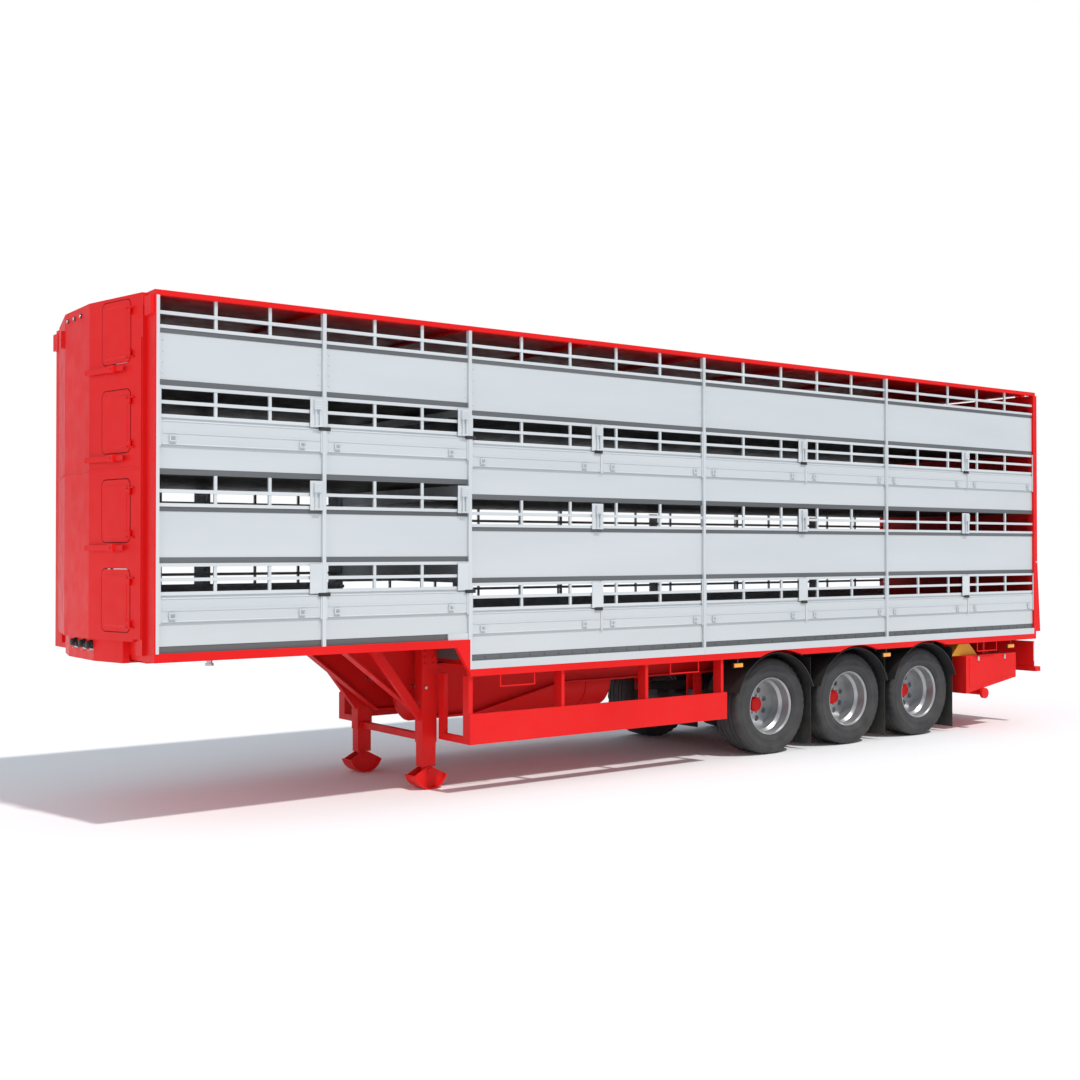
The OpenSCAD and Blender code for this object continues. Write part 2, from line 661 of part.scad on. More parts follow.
module drive_plate(x0, x1, c, unit, backed) {
    y0 = guide_out; y1 = plate_out;
    bx(x0, x1, y0, y1, c - vent_h - 8, c - 12);
    if (!backed) for (z = [c - vent_h, c - 110 - rail_h])
        bx((x0 + x1) / 2 - 20, (x0 + x1) / 2 + 20, inner + rail_d, y0,
           z, z + rail_h);
    if (unit) {
        m = (x0 + x1) / 2 + 8;
        bx(m - 34, m + 34, y1, drive_out, c - 105, c - 28);
        for (s = [-18, 18]) translate([m + s, y1 + 9, c - vent_h + 2])
            cylinder(h = vent_h - 106, r = 6);
        bx(m - 30, m + 30, y1, y1 + 16, c - vent_h - 4, c - vent_h + 8);
    }
}
module drive_units() color(light) placed() both() for (i = [0:4]) {
    r = is_rear(i);
    x1 = r ? split_x(i) + 12 : bay_b(i) - 1;
    for (s = [0:2])
        drive_plate(x1 - (r ? plate_w : plate_w - 20), x1, ceil_z(r, s),
                    s > 0, has_flap(s));
}
module handle(x, z) {
    y0 = flap_in + flap_t - 1; y1 = y0 + 20;
    bx(x - 26, x - 16, y0, y1, z - 24, z + 24);
    bx(x - 26, x + 26, y0, y1, z + 14, z + 24);
    bx(x - 26, x + 26, y0, y1, z - 24, z - 14);
}
module flap(x0, x1, top, h0, h1) {
    bx(x0, x1, flap_in, flap_in + flap_t, top - flap_h, top);
    side_z = top - flap_h / 2;
    bx(x0 + 20, x1 - 20, flap_in + flap_t - 1, flap_in + flap_t + 4,
       side_z - 6, side_z + 8);
    handle(h0, side_z - 42);
    handle(h1, side_z - 42);
}
module flap_set(s) placed() for (i = [0:4]) {
    r = is_rear(i); t = flap_top(r, s);
    a = bay_a(i) + flap_end; b = bay_b(i) - flap_end; m = split_x(i);
    if (r) {
        flap(a, m - flap_end, t, a + 110, m - plate_w - 68);
        flap(m + flap_end, b, t, m + 128, b - 95);
    } else flap(a, b, t, a + 95, b - plate_w - 40);
}
module flap_left_upper() color(light) mirror([0, 1, 0]) flap_set(2);
module flap_left_lower() color(light) mirror([0, 1, 0]) flap_set(0);
module flap_right_upper() color(light) flap_set(2);
module flap_right_lower() color(light) flap_set(0);
module roof() color(red) placed() {
    bx(0, body_length, -half + 60, half - 60, body_height - roof_sheet,
       body_height);
    both() bx(0, body_length, half - 60, half, eave, body_height);
    translate([0, 0, body_height - roof_sheet])
        linear_extrude(height = roof_sheet)
            polygon([[-nose_depth, -nose_flat], [-nose_depth, nose_flat],
                [-nose_back, nose_out], [0, nose_out], [0, -nose_out],
                [-nose_back, -nose_out]]);
    for (k = [1:7])
        bx(k * body_length / 8 - 20, k * body_length / 8 + 20, -half + 60,
           half - 60, eave, body_height - roof_sheet);
}

// ---- nose ----
module facet(z0, z1) translate([0, 0, z0]) linear_extrude(height = z1 - z0)
    polygon([[-nose_depth, -nose_flat], [-nose_depth + nose_t, -nose_flat],
        [-nose_back + nose_t, -nose_out], [-nose_back, -nose_out]]);
hatch_x0 = facet_len - 160 - hatch_w;      // free edge along the facet
pin_x = hatch_x0 + hatch_w + 15;           // hinge pin along the facet
pin_y = -14;                               // hinge pin outside the facet
module hatch_lugs(k) for (z = [hatch_z(k) + 60, hatch_z(k) + 385]) {
    for (s = [-1, 1]) translate([pin_x - 8, -22, z + s * 24 - 7])
        cube([16, 22, 14]);
    translate([pin_x, pin_y, z - 30]) cylinder(h = 60, r = hinge_r);
}
latch_x = hatch_x0 + 193;
module front_wall() color(red) placed() {
    top = body_height - roof_sheet;
    seam = front_floor + 2 * front_pitch + 10;
    for (z = [[nose_z, seam], [seam, top]]) {
        bx(-nose_depth, -nose_depth + nose_t, -nose_flat, nose_flat, z[0],
           z[1]);
        mirror([0, 1, 0]) facet(z[0], z[1]);
    }
    difference() {
        union() { facet(nose_z, seam); facet(seam, top); }
        for (k = [0:3]) on_facet() translate([hatch_x0 - hatch_gap, 50,
            hatch_z(k) - hatch_gap]) rotate([90, 0, 0])
            linear_extrude(height = 100)
                rounded(hatch_w + 2 * hatch_gap, hatch_h + 2 * hatch_gap,
                        50 + hatch_gap);
    }
    on_facet() {
        for (k = [0:3]) hatch_lugs(k);
        for (k = [1:3]) translate([latch_x, 0, hatch_z(k) - 45])
            rotate([90, 0, 0]) {
                cylinder(h = lever_in - 1, r = 16);
                cylinder(h = lever_in + 30, r = 8);
            }
    }
    both() {
        // recessed strip and corner post
        bx(0, nose_t, nose_out, half - 60, front_under, top);
        bx(0, corner_w, half - 60, half, neck_z, eave);
        bx(-30, 0, half - 140, half - 10, body_height - 184,
           body_height - roof_edge);
        bx(-nose_back, 0, nose_out - 110, nose_out + 15, 1330, nose_z);
        bx(-nose_back, 0, nose_out, nose_out + 15, 1330, top);
    }
    // underside of the nose, front beam
    translate([0, 0, nose_z - 20]) linear_extrude(height = 20)
        polygon([[-nose_depth, -nose_flat], [-nose_depth, nose_flat],
            [-nose_back - 110 * nose_dx / nose_dy, nose_out - 110],
            [0, nose_out - 110], [0, -nose_out + 110],
            [-nose_back - 110 * nose_dx / nose_dy, -nose_out + 110]]);
    bx(0, 60, -half + 60, half - 60, neck_z, front_under);
    bx(-8, 0, -nose_out + 110, nose_out - 110, front_under - 30, nose_z);
    // small box on the right facet
    mirror([0, 1, 0]) on_facet() translate([40, -30, body_height - 268])
        cube([70, 30, 140]);
}
module coupling_box() color(red) placed() {
    translate([0, 0, box_low])
        linear_extrude(height = nose_z - 20 - box_low)
        polygon([[-nose_depth + 40, -nose_flat], [-nose_depth + 40, 160],
            [-nose_depth + 40, nose_flat], [-60, nose_out - 325],
            [-8, nose_out - 325], [-8, -nose_out + 325],
            [-60, -nose_out + 325]]);
}
module air_couplings() color(dark) placed() {
    xf = -nose_depth + 40;
    for (y = [120, -100, -280]) translate([xf, y, 1385]) rotate([0, -90, 0]) {
        cylinder(h = 20, r = 34);
        translate([0, 0, 19]) cylinder(h = 26, r = 26);
    }
    for (y = [30, -190]) translate([xf, y, 1370]) rotate([0, -90, 0]) {
        cylinder(h = 16, r = 24);
        translate([0, 0, 15]) cylinder(h = 20, r = 15);
    }
}
module hatch(k) placed() on_facet() difference() {
    union() {
        translate([hatch_x0, hatch_t - 2, hatch_z(k)]) rotate([90, 0, 0])
            linear_extrude(height = hatch_t) rounded(hatch_w, hatch_h, 50);
        for (z = [hatch_z(k) + 60, hatch_z(k) + 385])
            translate([0, 0, z - 16]) {
                translate([pin_x - 70, -9, 0]) cube([70, 8, 32]);
                translate([pin_x, pin_y, 0]) cylinder(h = 32, r = 11);
            }
    }
    translate([pin_x, pin_y, hatch_z(k)])
        cylinder(h = hatch_h, r = hinge_r + run);
}
module hatch_1() color(red) hatch(0);
module hatch_2() color(red) hatch(1);
module hatch_3() color(red) hatch(2);
module hatch_4() color(red) hatch(3);
module latch(k) placed() on_facet()
    translate([0, 0, hatch_z(k) - 45]) difference() {
        union() {
            translate([0, -lever_in, 0]) rotate([90, 0, 0])
                linear_extrude(height = lever_t) {
                    translate([22 - lever_tip, 0]) circle(r = 22);
                    translate([22 - lever_tip, -22])
                        square([latch_x - 32, 44]);
                }
            translate([latch_x - 40, -lever_in - 24, -28]) cube([80, 24, 56]);
            translate([latch_x + 39, -lever_in - 7, -20]) cube([110, 7, 40]);
        }
        translate([latch_x, 0, 0]) rotate([90, 0, 0])
            cylinder(h = 100, r = 8 + run);
    }
module latch_1() color(red) latch(1);
module latch_2() color(red) latch(2);
module latch_3() color(red) latch(3);

// ---- rear ----
module rear_frame() color(red) placed() {
    b = body_length;
    both() {
        bx(rear_post_x, b, half - frame_w, half, frame_low, eave);
        // ramp hinge lugs with pins
        for (y = [500, 1050]) {
            for (s = [-1, 1]) bx(b, ramp_axis_x + 15, y + s * 42 - 8,
                y + s * 42 + 8, ramp_axis_z - 15, ramp_axis_z + 15);
            yrod(ramp_axis_x, ramp_axis_z, y - 46, y + 46, ramp_pin);
        }
        // tailgate hinge lugs with pins
        for (y = [400, 1000]) {
            for (s = [-1, 1]) bx(b, gate_axis_x + 14, y + s * 38 - 7,
                y + s * 38 + 7, gate_axis_z - 14, gate_axis_z + 14);
            yrod(gate_axis_x, gate_axis_z, y - 42, y + 42, 9);
        }
    }
    bx(rear_post_x, b, -half + frame_w, half - frame_w, frame_top, eave);
    bx(rear_post_x, b, -half + frame_w, half - frame_w, frame_low,
       rear_floor);
}
module rear_ramp() color(red) placed() {
    b = body_length; o = ramp_bulge;
    difference() {
        union() {
            side_plate(-door_half, door_half, [[b + 1, ramp_low],
                [b + o, ramp_low], [b + 46, gate_z - 8],
                [b + 1, gate_z - 8]]);
            both() for (y = [500, 1050]) {
                yrod(ramp_axis_x, ramp_axis_z, y - 32, y + 32, 24);
                bx(ramp_axis_x - 14, ramp_axis_x + 24, y - 32, y + 32,
                   ramp_axis_z, ramp_low + 1);
            }
        }
        both() for (y = [500, 1050])
            yrod(ramp_axis_x, ramp_axis_z, y - 60, y + 60, ramp_pin + run);
    }
}
module upper_tailgate() color(red) placed() {
    b = body_length; top = gate_axis_z - 18;
    difference() {
        union() {
            bx(b + 1, b + gate_t, -door_half, door_half, gate_z + 2, top);
            both() for (y = [400, 1000]) {
                bx(b + gate_t - 1, gate_axis_x + 15, y - 29, y + 29,
                   top - 120, top);
                bx(gate_axis_x - 12, gate_axis_x + 15, y - 29, y + 29,
                   top - 1, gate_axis_z);
                yrod(gate_axis_x, gate_axis_z, y - 29, y + 29, 15);
            }
        }
        both() for (y = [400, 1000])
            yrod(gate_axis_x, gate_axis_z, y - 60, y + 60, 9 + run);
    }
}

main_beams();
cross_members();
side_rails();
kingpin();
leg_housings();
inner_leg_left();
inner_leg_right();
foot_left();
foot_right();
leg_shaft();
side_guards();
water_tank();
tool_boxes();
wheel_chocks();
mudguards();
mud_flaps();
marker_lamps();
rear_bumper();
rear_lamps();
axle_beams();
trailing_arms();
air_springs();
wheel_left_1();
wheel_left_2();
wheel_left_3();
wheel_right_1();
wheel_right_2();
wheel_right_3();
tyre_left_1();
tyre_left_2();
tyre_left_3();
tyre_right_1();
tyre_right_2();
tyre_right_3();
floor();
upper_decks();
side_posts();
side_channels();
sill_rails();
wall_panels();
vent_rails();
drive_units();
flap_left_upper();
flap_left_lower();
flap_right_upper();
flap_right_lower();
roof();
front_wall();
coupling_box();
air_couplings();
hatch_1();
hatch_2();
hatch_3();
hatch_4();
latch_1();
latch_2();
latch_3();
rear_frame();
rear_ramp();
upper_tailgate();
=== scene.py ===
"""Looks of a four-deck livestock semi-trailer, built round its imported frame.

Every length is in metres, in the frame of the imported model: +X runs to the
rear, +Z is up and the left side is at -Y.
"""

import logging
import math
from collections.abc import Callable, Iterable, Sequence
from dataclasses import dataclass, field
from enum import Enum

import bmesh
import bpy
from mathutils import Matrix, Vector


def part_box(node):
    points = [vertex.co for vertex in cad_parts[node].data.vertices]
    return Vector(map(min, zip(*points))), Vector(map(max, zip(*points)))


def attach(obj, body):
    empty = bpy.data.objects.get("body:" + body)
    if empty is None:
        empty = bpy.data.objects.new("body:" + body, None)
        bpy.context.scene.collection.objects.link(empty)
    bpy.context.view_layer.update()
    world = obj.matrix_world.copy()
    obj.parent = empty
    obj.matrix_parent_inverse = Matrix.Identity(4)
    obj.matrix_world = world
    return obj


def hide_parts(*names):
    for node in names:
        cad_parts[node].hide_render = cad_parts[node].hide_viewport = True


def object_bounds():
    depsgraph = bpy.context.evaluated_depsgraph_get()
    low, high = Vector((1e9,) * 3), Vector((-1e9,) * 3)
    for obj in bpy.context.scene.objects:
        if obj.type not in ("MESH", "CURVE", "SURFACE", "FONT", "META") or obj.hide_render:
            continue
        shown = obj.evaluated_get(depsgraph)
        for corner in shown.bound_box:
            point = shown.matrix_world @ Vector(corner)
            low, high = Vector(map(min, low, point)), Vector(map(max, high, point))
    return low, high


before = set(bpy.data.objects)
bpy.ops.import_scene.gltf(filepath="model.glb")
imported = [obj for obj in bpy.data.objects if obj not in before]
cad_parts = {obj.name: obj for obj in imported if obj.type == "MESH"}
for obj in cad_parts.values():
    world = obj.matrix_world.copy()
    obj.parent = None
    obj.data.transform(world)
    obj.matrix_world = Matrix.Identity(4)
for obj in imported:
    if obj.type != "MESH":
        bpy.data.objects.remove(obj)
CAD_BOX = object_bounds()

LOG = logging.getLogger("livestock_trailer")
CHASSIS = "chassis_body"
ROAD_DUST = (0.30, 0.26, 0.21)
WELD_DISTANCE = 1e-6
BEVEL_ANGLE = math.radians(30)
SMOOTH_ANGLE = math.radians(38)
Point = tuple[float, float, float]
Colour = tuple[float, float, float]


class Pattern(Enum):
    """Kinds of fine surface detail that a finish can carry."""

    CLOUD = "cloud"
    BRUSHED = "brushed"
    TREAD = "tread"
    PEBBLE = "pebble"


class Side(Enum):
    """Left and right of the trailer, as the sign of Y."""

    LEFT = -1
    RIGHT = 1

    @property
    def word(self) -> str:
        """The side's name as the bodies and nodes spell it."""
        return self.name.lower()

    @property
    def outward(self) -> Point:
        """The way that this side of the trailer faces."""
        return (0.0, float(self.value), 0.0)

    def span(self, inner: float, outer: float) -> tuple[float, float]:
        """Put two distances from the middle plane in rising order of Y.

        Args:
            inner: Distance of one face.
            outer: Distance of the other.

        Returns:
            The lower and the higher Y.
        """
        low, high = sorted((self.value * inner, self.value * outer))
        return low, high


# ---------------------------------------------------------------- finishes


@dataclass(frozen=True)
class Finish:
    """One surface finish and the material slot that it stands for."""

    name: str
    slot: str
    colour: Colour
    shade: Colour
    roughness: float
    metallic: float = 0.0
    coat: float = 0.0
    emission: float = 0.0
    pattern: Pattern = Pattern.CLOUD
    stretch: Point = (1.0, 1.0, 1.0)
    patch: float = 1.4
    grain: float = 90.0
    relief: float = 0.05
    shine: float = 0.5
    dust: float = 0.10
    dust_top: float = 1.1

    def material(self) -> bpy.types.Material:
        """Give the finish's material, which is made once.

        Returns:
            The material with its node tree.
        """
        found = bpy.data.materials.get(self.name)
        return found if found else self._make()

    def _make(self) -> bpy.types.Material:
        """Build the node tree: tone, dust, roughness and relief.

        Returns:
            The new material.
        """
        made = bpy.data.materials.new(self.name)
        made.use_nodes = True
        tree = made.node_tree
        shader = tree.nodes["Principled BSDF"]
        shader.inputs["Metallic"].default_value = self.metallic
        shader.inputs["Coat Weight"].default_value = self.coat
        shader.inputs["Coat Roughness"].default_value = 0.12
        shader.inputs["Specular IOR Level"].default_value = self.shine
        if self.emission:
            shader.inputs["Emission Color"].default_value = (*self.colour, 1)
            shader.inputs["Emission Strength"].default_value = self.emission
        place = tree.nodes.new("ShaderNodeTexCoord").outputs["Object"]
        tone = self._tone(tree, place)
        tree.links.new(self._dusted(tree, place, tone),
                       shader.inputs["Base Color"])
        self._worn(tree, place, shader.inputs["Roughness"])
        self._raised(tree, place, shader.inputs["Normal"])
        made.diffuse_color = (*self.colour, 1)
        return made

    def _noise(self, tree: bpy.types.NodeTree, place: bpy.types.NodeSocket,
               scale: float, detail: float,
               stretch: Point = (1.0, 1.0, 1.0)) -> bpy.types.NodeSocket:
        """Add a noise texture on a stretched copy of the coordinates.

        Args:
            tree: The material's nodes.
            place: The object coordinates.
            scale: Noise cells for each metre.
            detail: Octaves of the noise.
            stretch: Factor on each axis before the noise.

        Returns:
            The noise's factor.
        """
        turn = tree.nodes.new("ShaderNodeMapping")
        turn.inputs["Scale"].default_value = stretch
        noise = tree.nodes.new("ShaderNodeTexNoise")
        noise.inputs["Scale"].default_value = scale
        noise.inputs["Detail"].default_value = detail
        tree.links.new(place, turn.inputs["Vector"])
        tree.links.new(turn.outputs["Vector"], noise.inputs["Vector"])
        return noise.outputs["Fac"]

    def _ranged(self, tree: bpy.types.NodeTree, value: bpy.types.NodeSocket,
                low: float, high: float, start: float,
                end: float) -> bpy.types.NodeSocket:
        """Map a value from one range to another, clamped.

        Args:
            tree: The material's nodes.
            value: The value to map.
            low: Start of the incoming range.
            high: End of the incoming range.
            start: Result at the start.
            end: Result at the end.

        Returns:
            The mapped value.
        """
        node = tree.nodes.new("ShaderNodeMapRange")
        for name, number in (("From Min", low), ("From Max", high),
                             ("To Min", start), ("To Max", end)):
            node.inputs[name].default_value = number
        tree.links.new(value, node.inputs["Value"])
        return node.outputs["Result"]

    def _mixed(self, tree: bpy.types.NodeTree, share: bpy.types.NodeSocket,
               first: bpy.types.NodeSocket | Colour,
               second: Colour) -> bpy.types.NodeSocket:
        """Mix a colour towards a second one.

        Args:
            tree: The material's nodes.
            share: How much of the second colour shows.
            first: A colour, or the socket that gives one.
            second: The second colour.

        Returns:
            The mixed colour.
        """
        mix = tree.nodes.new("ShaderNodeMix")
        mix.data_type = "RGBA"
        # sockets 6 and 7 are the two colours, after the floats and vectors
        mix.inputs[7].default_value = (*second, 1)
        if isinstance(first, tuple):
            mix.inputs[6].default_value = (*first, 1)
        else:
            tree.links.new(first, mix.inputs[6])
        tree.links.new(share, mix.inputs[0])
        return mix.outputs[2]

    def _tone(self, tree: bpy.types.NodeTree,
              place: bpy.types.NodeSocket) -> bpy.types.NodeSocket:
        """Vary the colour in soft patches and fine flecks.

        Args:
            tree: The material's nodes.
            place: The object coordinates.

        Returns:
            The colour, before any dust.
        """
        patches = self._noise(tree, place, self.patch, 4.0, self.stretch)
        share = self._ranged(tree, patches, 0.35, 0.70, 0.0, 1.0)
        return self._mixed(tree, share, self.colour, self.shade)

    def _dusted(self, tree: bpy.types.NodeTree, place: bpy.types.NodeSocket,
                tone: bpy.types.NodeSocket) -> bpy.types.NodeSocket:
        """Lay road dust over the colour, thicker towards the ground.

        Args:
            tree: The material's nodes.
            place: The object coordinates.
            tone: The colour before dust.

        Returns:
            The colour with dust.
        """
        split = tree.nodes.new("ShaderNodeSeparateXYZ")
        tree.links.new(place, split.inputs[0])
        height = self._ranged(tree, split.outputs["Z"], 0.0, self.dust_top,
                              self.dust, self.dust * 0.08)
        cloud = self._noise(tree, place, 5.5, 6.0)
        patchy = self._ranged(tree, cloud, 0.38, 0.72, 0.15, 1.0)
        share = tree.nodes.new("ShaderNodeMath")
        share.operation = "MULTIPLY"
        tree.links.new(height, share.inputs[0])
        tree.links.new(patchy, share.inputs[1])
        return self._mixed(tree, share.outputs[0], tone, ROAD_DUST)

    def _worn(self, tree: bpy.types.NodeTree, place: bpy.types.NodeSocket,
              target: bpy.types.NodeSocket) -> None:
        """Vary the roughness with the finish's grain.

        Args:
            tree: The material's nodes.
            place: The object coordinates.
            target: The shader's roughness input.
        """
        smudge = self._noise(tree, place, 7.0, 5.0, self.stretch)
        low, high = self.roughness * 0.85, min(1.0, self.roughness * 1.18)
        tree.links.new(self._ranged(tree, smudge, 0.3, 0.7, low, high), target)

    def _raised(self, tree: bpy.types.NodeTree, place: bpy.types.NodeSocket,
                target: bpy.types.NodeSocket) -> None:
        """Add the fine relief of the pattern.

        Args:
            tree: The material's nodes.
            place: The object coordinates.
            target: The shader's normal input.
        """
        if self.pattern in (Pattern.TREAD, Pattern.PEBBLE):
            cells = tree.nodes.new("ShaderNodeTexVoronoi")
            cells.inputs["Scale"].default_value = self.grain
            tree.links.new(place, cells.inputs["Vector"])
            height = self._ranged(tree, cells.outputs["Distance"],
                                  0.25, 0.45, 1.0, 0.0)
        elif self.pattern is Pattern.BRUSHED:
            height = self._noise(tree, place, self.grain, 3.0, self.stretch)
        else:
            height = self._noise(tree, place, self.grain, 2.0)
        bump = tree.nodes.new("ShaderNodeBump")
        bump.inputs["Strength"].default_value = self.relief
        bump.inputs["Distance"].default_value = 0.002
        tree.links.new(height, bump.inputs["Height"])
        tree.links.new(bump.outputs["Normal"], target)


RED_PAINT = Finish("red_gloss_paint", "red_paint", (0.80, 0.012, 0.012),
                   (0.75, 0.009, 0.009), 0.42, grain=140.0,
                   relief=0.035, shine=0.16, dust=0.05)
HATCH_PAINT = Finish("red_hatch_paint", "red_paint", (0.79, 0.012, 0.012),
                     (0.75, 0.009, 0.009), 0.42, grain=120.0,
                     relief=0.04, shine=0.16, dust=0.04)
# dark red ring colour: painted shade of the gap round each nose hatch
SEAM_SHADE_RED = Finish("painted_seam_shade", "red_paint", (0.30, 0.010, 0.010),
                  (0.22, 0.008, 0.008), 0.60, grain=200.0, shine=0.1,
                  dust=0.02)
PANEL_WHITE = Finish("light_wall_aluminium", "white_aluminium",
                     (0.62, 0.65, 0.665), (0.575, 0.605, 0.62), 0.46,
                     metallic=0.10, pattern=Pattern.BRUSHED,
                     stretch=(0.35, 1.0, 2.6), patch=0.9, grain=160.0,
                     relief=0.05, dust=0.05, dust_top=2.2)
RAIL_WHITE = Finish("white_rail_aluminium", "white_aluminium",
                    (0.68, 0.71, 0.725), (0.61, 0.64, 0.655), 0.38,
                    metallic=0.12, pattern=Pattern.BRUSHED,
                    stretch=(0.3, 1.0, 3.0), grain=200.0, relief=0.04,
                    dust=0.04, dust_top=2.0)
POST_WHITE = Finish("post_aluminium", "white_aluminium",
                    (0.64, 0.67, 0.69), (0.57, 0.60, 0.62), 0.40,
                    metallic=0.12, pattern=Pattern.BRUSHED,
                    stretch=(3.0, 1.0, 0.25), grain=180.0, relief=0.05,
                    dust=0.05, dust_top=2.2)
# darkened grey: the channels' own grey plus painted shade of their recess under the panels
SHADED_CHANNEL_GREY = Finish("grey_deck_channel_painted_shade", "grey_aluminium",
                      (0.145, 0.152, 0.158), (0.105, 0.11, 0.115), 0.48,
                      metallic=0.25, pattern=Pattern.BRUSHED,
                      stretch=(0.25, 1.0, 4.0), grain=220.0, relief=0.06,
                      dust=0.08, dust_top=2.4)
# very dark plate: the plate's own dark tone, darkened further as painted shade of the
# unlit inside seen through the vents
SHADED_DECK_PLATE = Finish("grip_deck_plate_painted_shade", "deck_plate", (0.085, 0.075, 0.075),
                    (0.060, 0.052, 0.052), 0.60, metallic=0.25,
                    pattern=Pattern.TREAD, grain=26.0, relief=0.5,
                    dust=0.12, dust_top=3.6)
TYRE_RUBBER = Finish("tyre_rubber", "tyre", (0.030, 0.031, 0.034),
                     (0.042, 0.042, 0.044), 0.74, grain=260.0, relief=0.18,
                     dust=0.13, dust_top=1.0)
WHEEL_SILVER = Finish("silver_wheel_paint", "wheel_silver",
                      (0.50, 0.505, 0.515), (0.41, 0.415, 0.425), 0.34,
                      metallic=0.65, patch=6.0, grain=240.0, relief=0.05,
                      dust=0.12, dust_top=1.0)
BRIGHT_STEEL = Finish("bright_steel", "steel", (0.62, 0.62, 0.63),
                      (0.48, 0.48, 0.49), 0.30, metallic=0.9,
                      pattern=Pattern.BRUSHED, stretch=(1.0, 4.0, 1.0),
                      patch=8.0, grain=300.0, relief=0.08, dust=0.05)
DARK_PAINT = Finish("axle_black_paint", "dark_paint", (0.030, 0.030, 0.033),
                    (0.045, 0.043, 0.040), 0.48, coat=0.1, grain=110.0,
                    relief=0.12, dust=0.22)
BLACK_PLASTIC = Finish("black_moulded_plastic", "black_plastic",
                       (0.020, 0.020, 0.021), (0.030, 0.030, 0.030), 0.58,
                       pattern=Pattern.PEBBLE, grain=420.0, relief=0.12,
                       dust=0.12)
BLACK_RUBBER = Finish("black_flap_rubber", "black_rubber",
                      (0.022, 0.022, 0.023), (0.034, 0.033, 0.032), 0.72,
                      pattern=Pattern.PEBBLE, grain=160.0, relief=0.2,
                      dust=0.18)
AMBER_LENS = Finish("amber_lens", "amber_plastic", (1.0, 0.36, 0.015),
                    (0.9, 0.27, 0.01), 0.18, coat=0.6, emission=0.15,
                    pattern=Pattern.PEBBLE, grain=120.0, relief=0.25,
                    dust=0.03)
RED_LENS = Finish("red_lens", "red_plastic", (0.55, 0.012, 0.012),
                  (0.42, 0.008, 0.008), 0.16, coat=0.7,
                  pattern=Pattern.PEBBLE, grain=110.0, relief=0.3, dust=0.03)
CLEAR_LENS = Finish("pale_lens", "wheel_silver", (0.62, 0.63, 0.66),
                    (0.50, 0.51, 0.54), 0.15, metallic=0.3, coat=0.8,
                    pattern=Pattern.PEBBLE, grain=150.0, relief=0.25,
                    dust=0.02)
REFLECTOR = Finish("grey_reflective_strip", "wheel_silver",
                   (0.55, 0.56, 0.58), (0.45, 0.46, 0.48), 0.28,
                   metallic=0.4, pattern=Pattern.PEBBLE, grain=180.0,
                   relief=0.3, dust=0.04)
CHOCK_YELLOW = Finish("yellow_chock_plastic", "yellow_plastic",
                      (0.92, 0.46, 0.02), (0.84, 0.39, 0.02), 0.5,
                      pattern=Pattern.PEBBLE, grain=60.0, relief=0.35,
                      dust=0.10)

NODE_FINISHES: dict[Finish, tuple[str, ...]] = {
    RED_PAINT: ("main_beams", "cross_members", "side_rails", "leg_housings",
                "inner_leg_left", "inner_leg_right", "foot_left",
                "foot_right", "side_guards", "water_tank", "tool_boxes",
                "rear_bumper", "roof", "front_wall", "coupling_box",
                "rear_frame", "rear_ramp", "upper_tailgate"),
    HATCH_PAINT: ("hatch_1", "hatch_2", "hatch_3", "hatch_4", "latch_1",
                  "latch_2", "latch_3"),
    PANEL_WHITE: ("wall_panels", "flap_left_upper", "flap_left_lower",
                  "flap_right_upper", "flap_right_lower", "sill_rails"),
    RAIL_WHITE: ("vent_rails", "drive_units"),
    POST_WHITE: ("side_posts",),
    SHADED_CHANNEL_GREY: ("side_channels",),
    SHADED_DECK_PLATE: ("floor", "upper_decks"),
    WHEEL_SILVER: tuple(f"wheel_{s.word}_{k}" for s in Side
                        for k in (1, 2, 3)),
    BRIGHT_STEEL: ("kingpin", "leg_shaft"),
    DARK_PAINT: ("axle_beams", "trailing_arms"),
    BLACK_PLASTIC: ("mudguards", "air_couplings"),
    BLACK_RUBBER: ("mud_flaps", "air_springs"),
    CHOCK_YELLOW: ("wheel_chocks",),
}


# ------------------------------------------------------------ mesh making


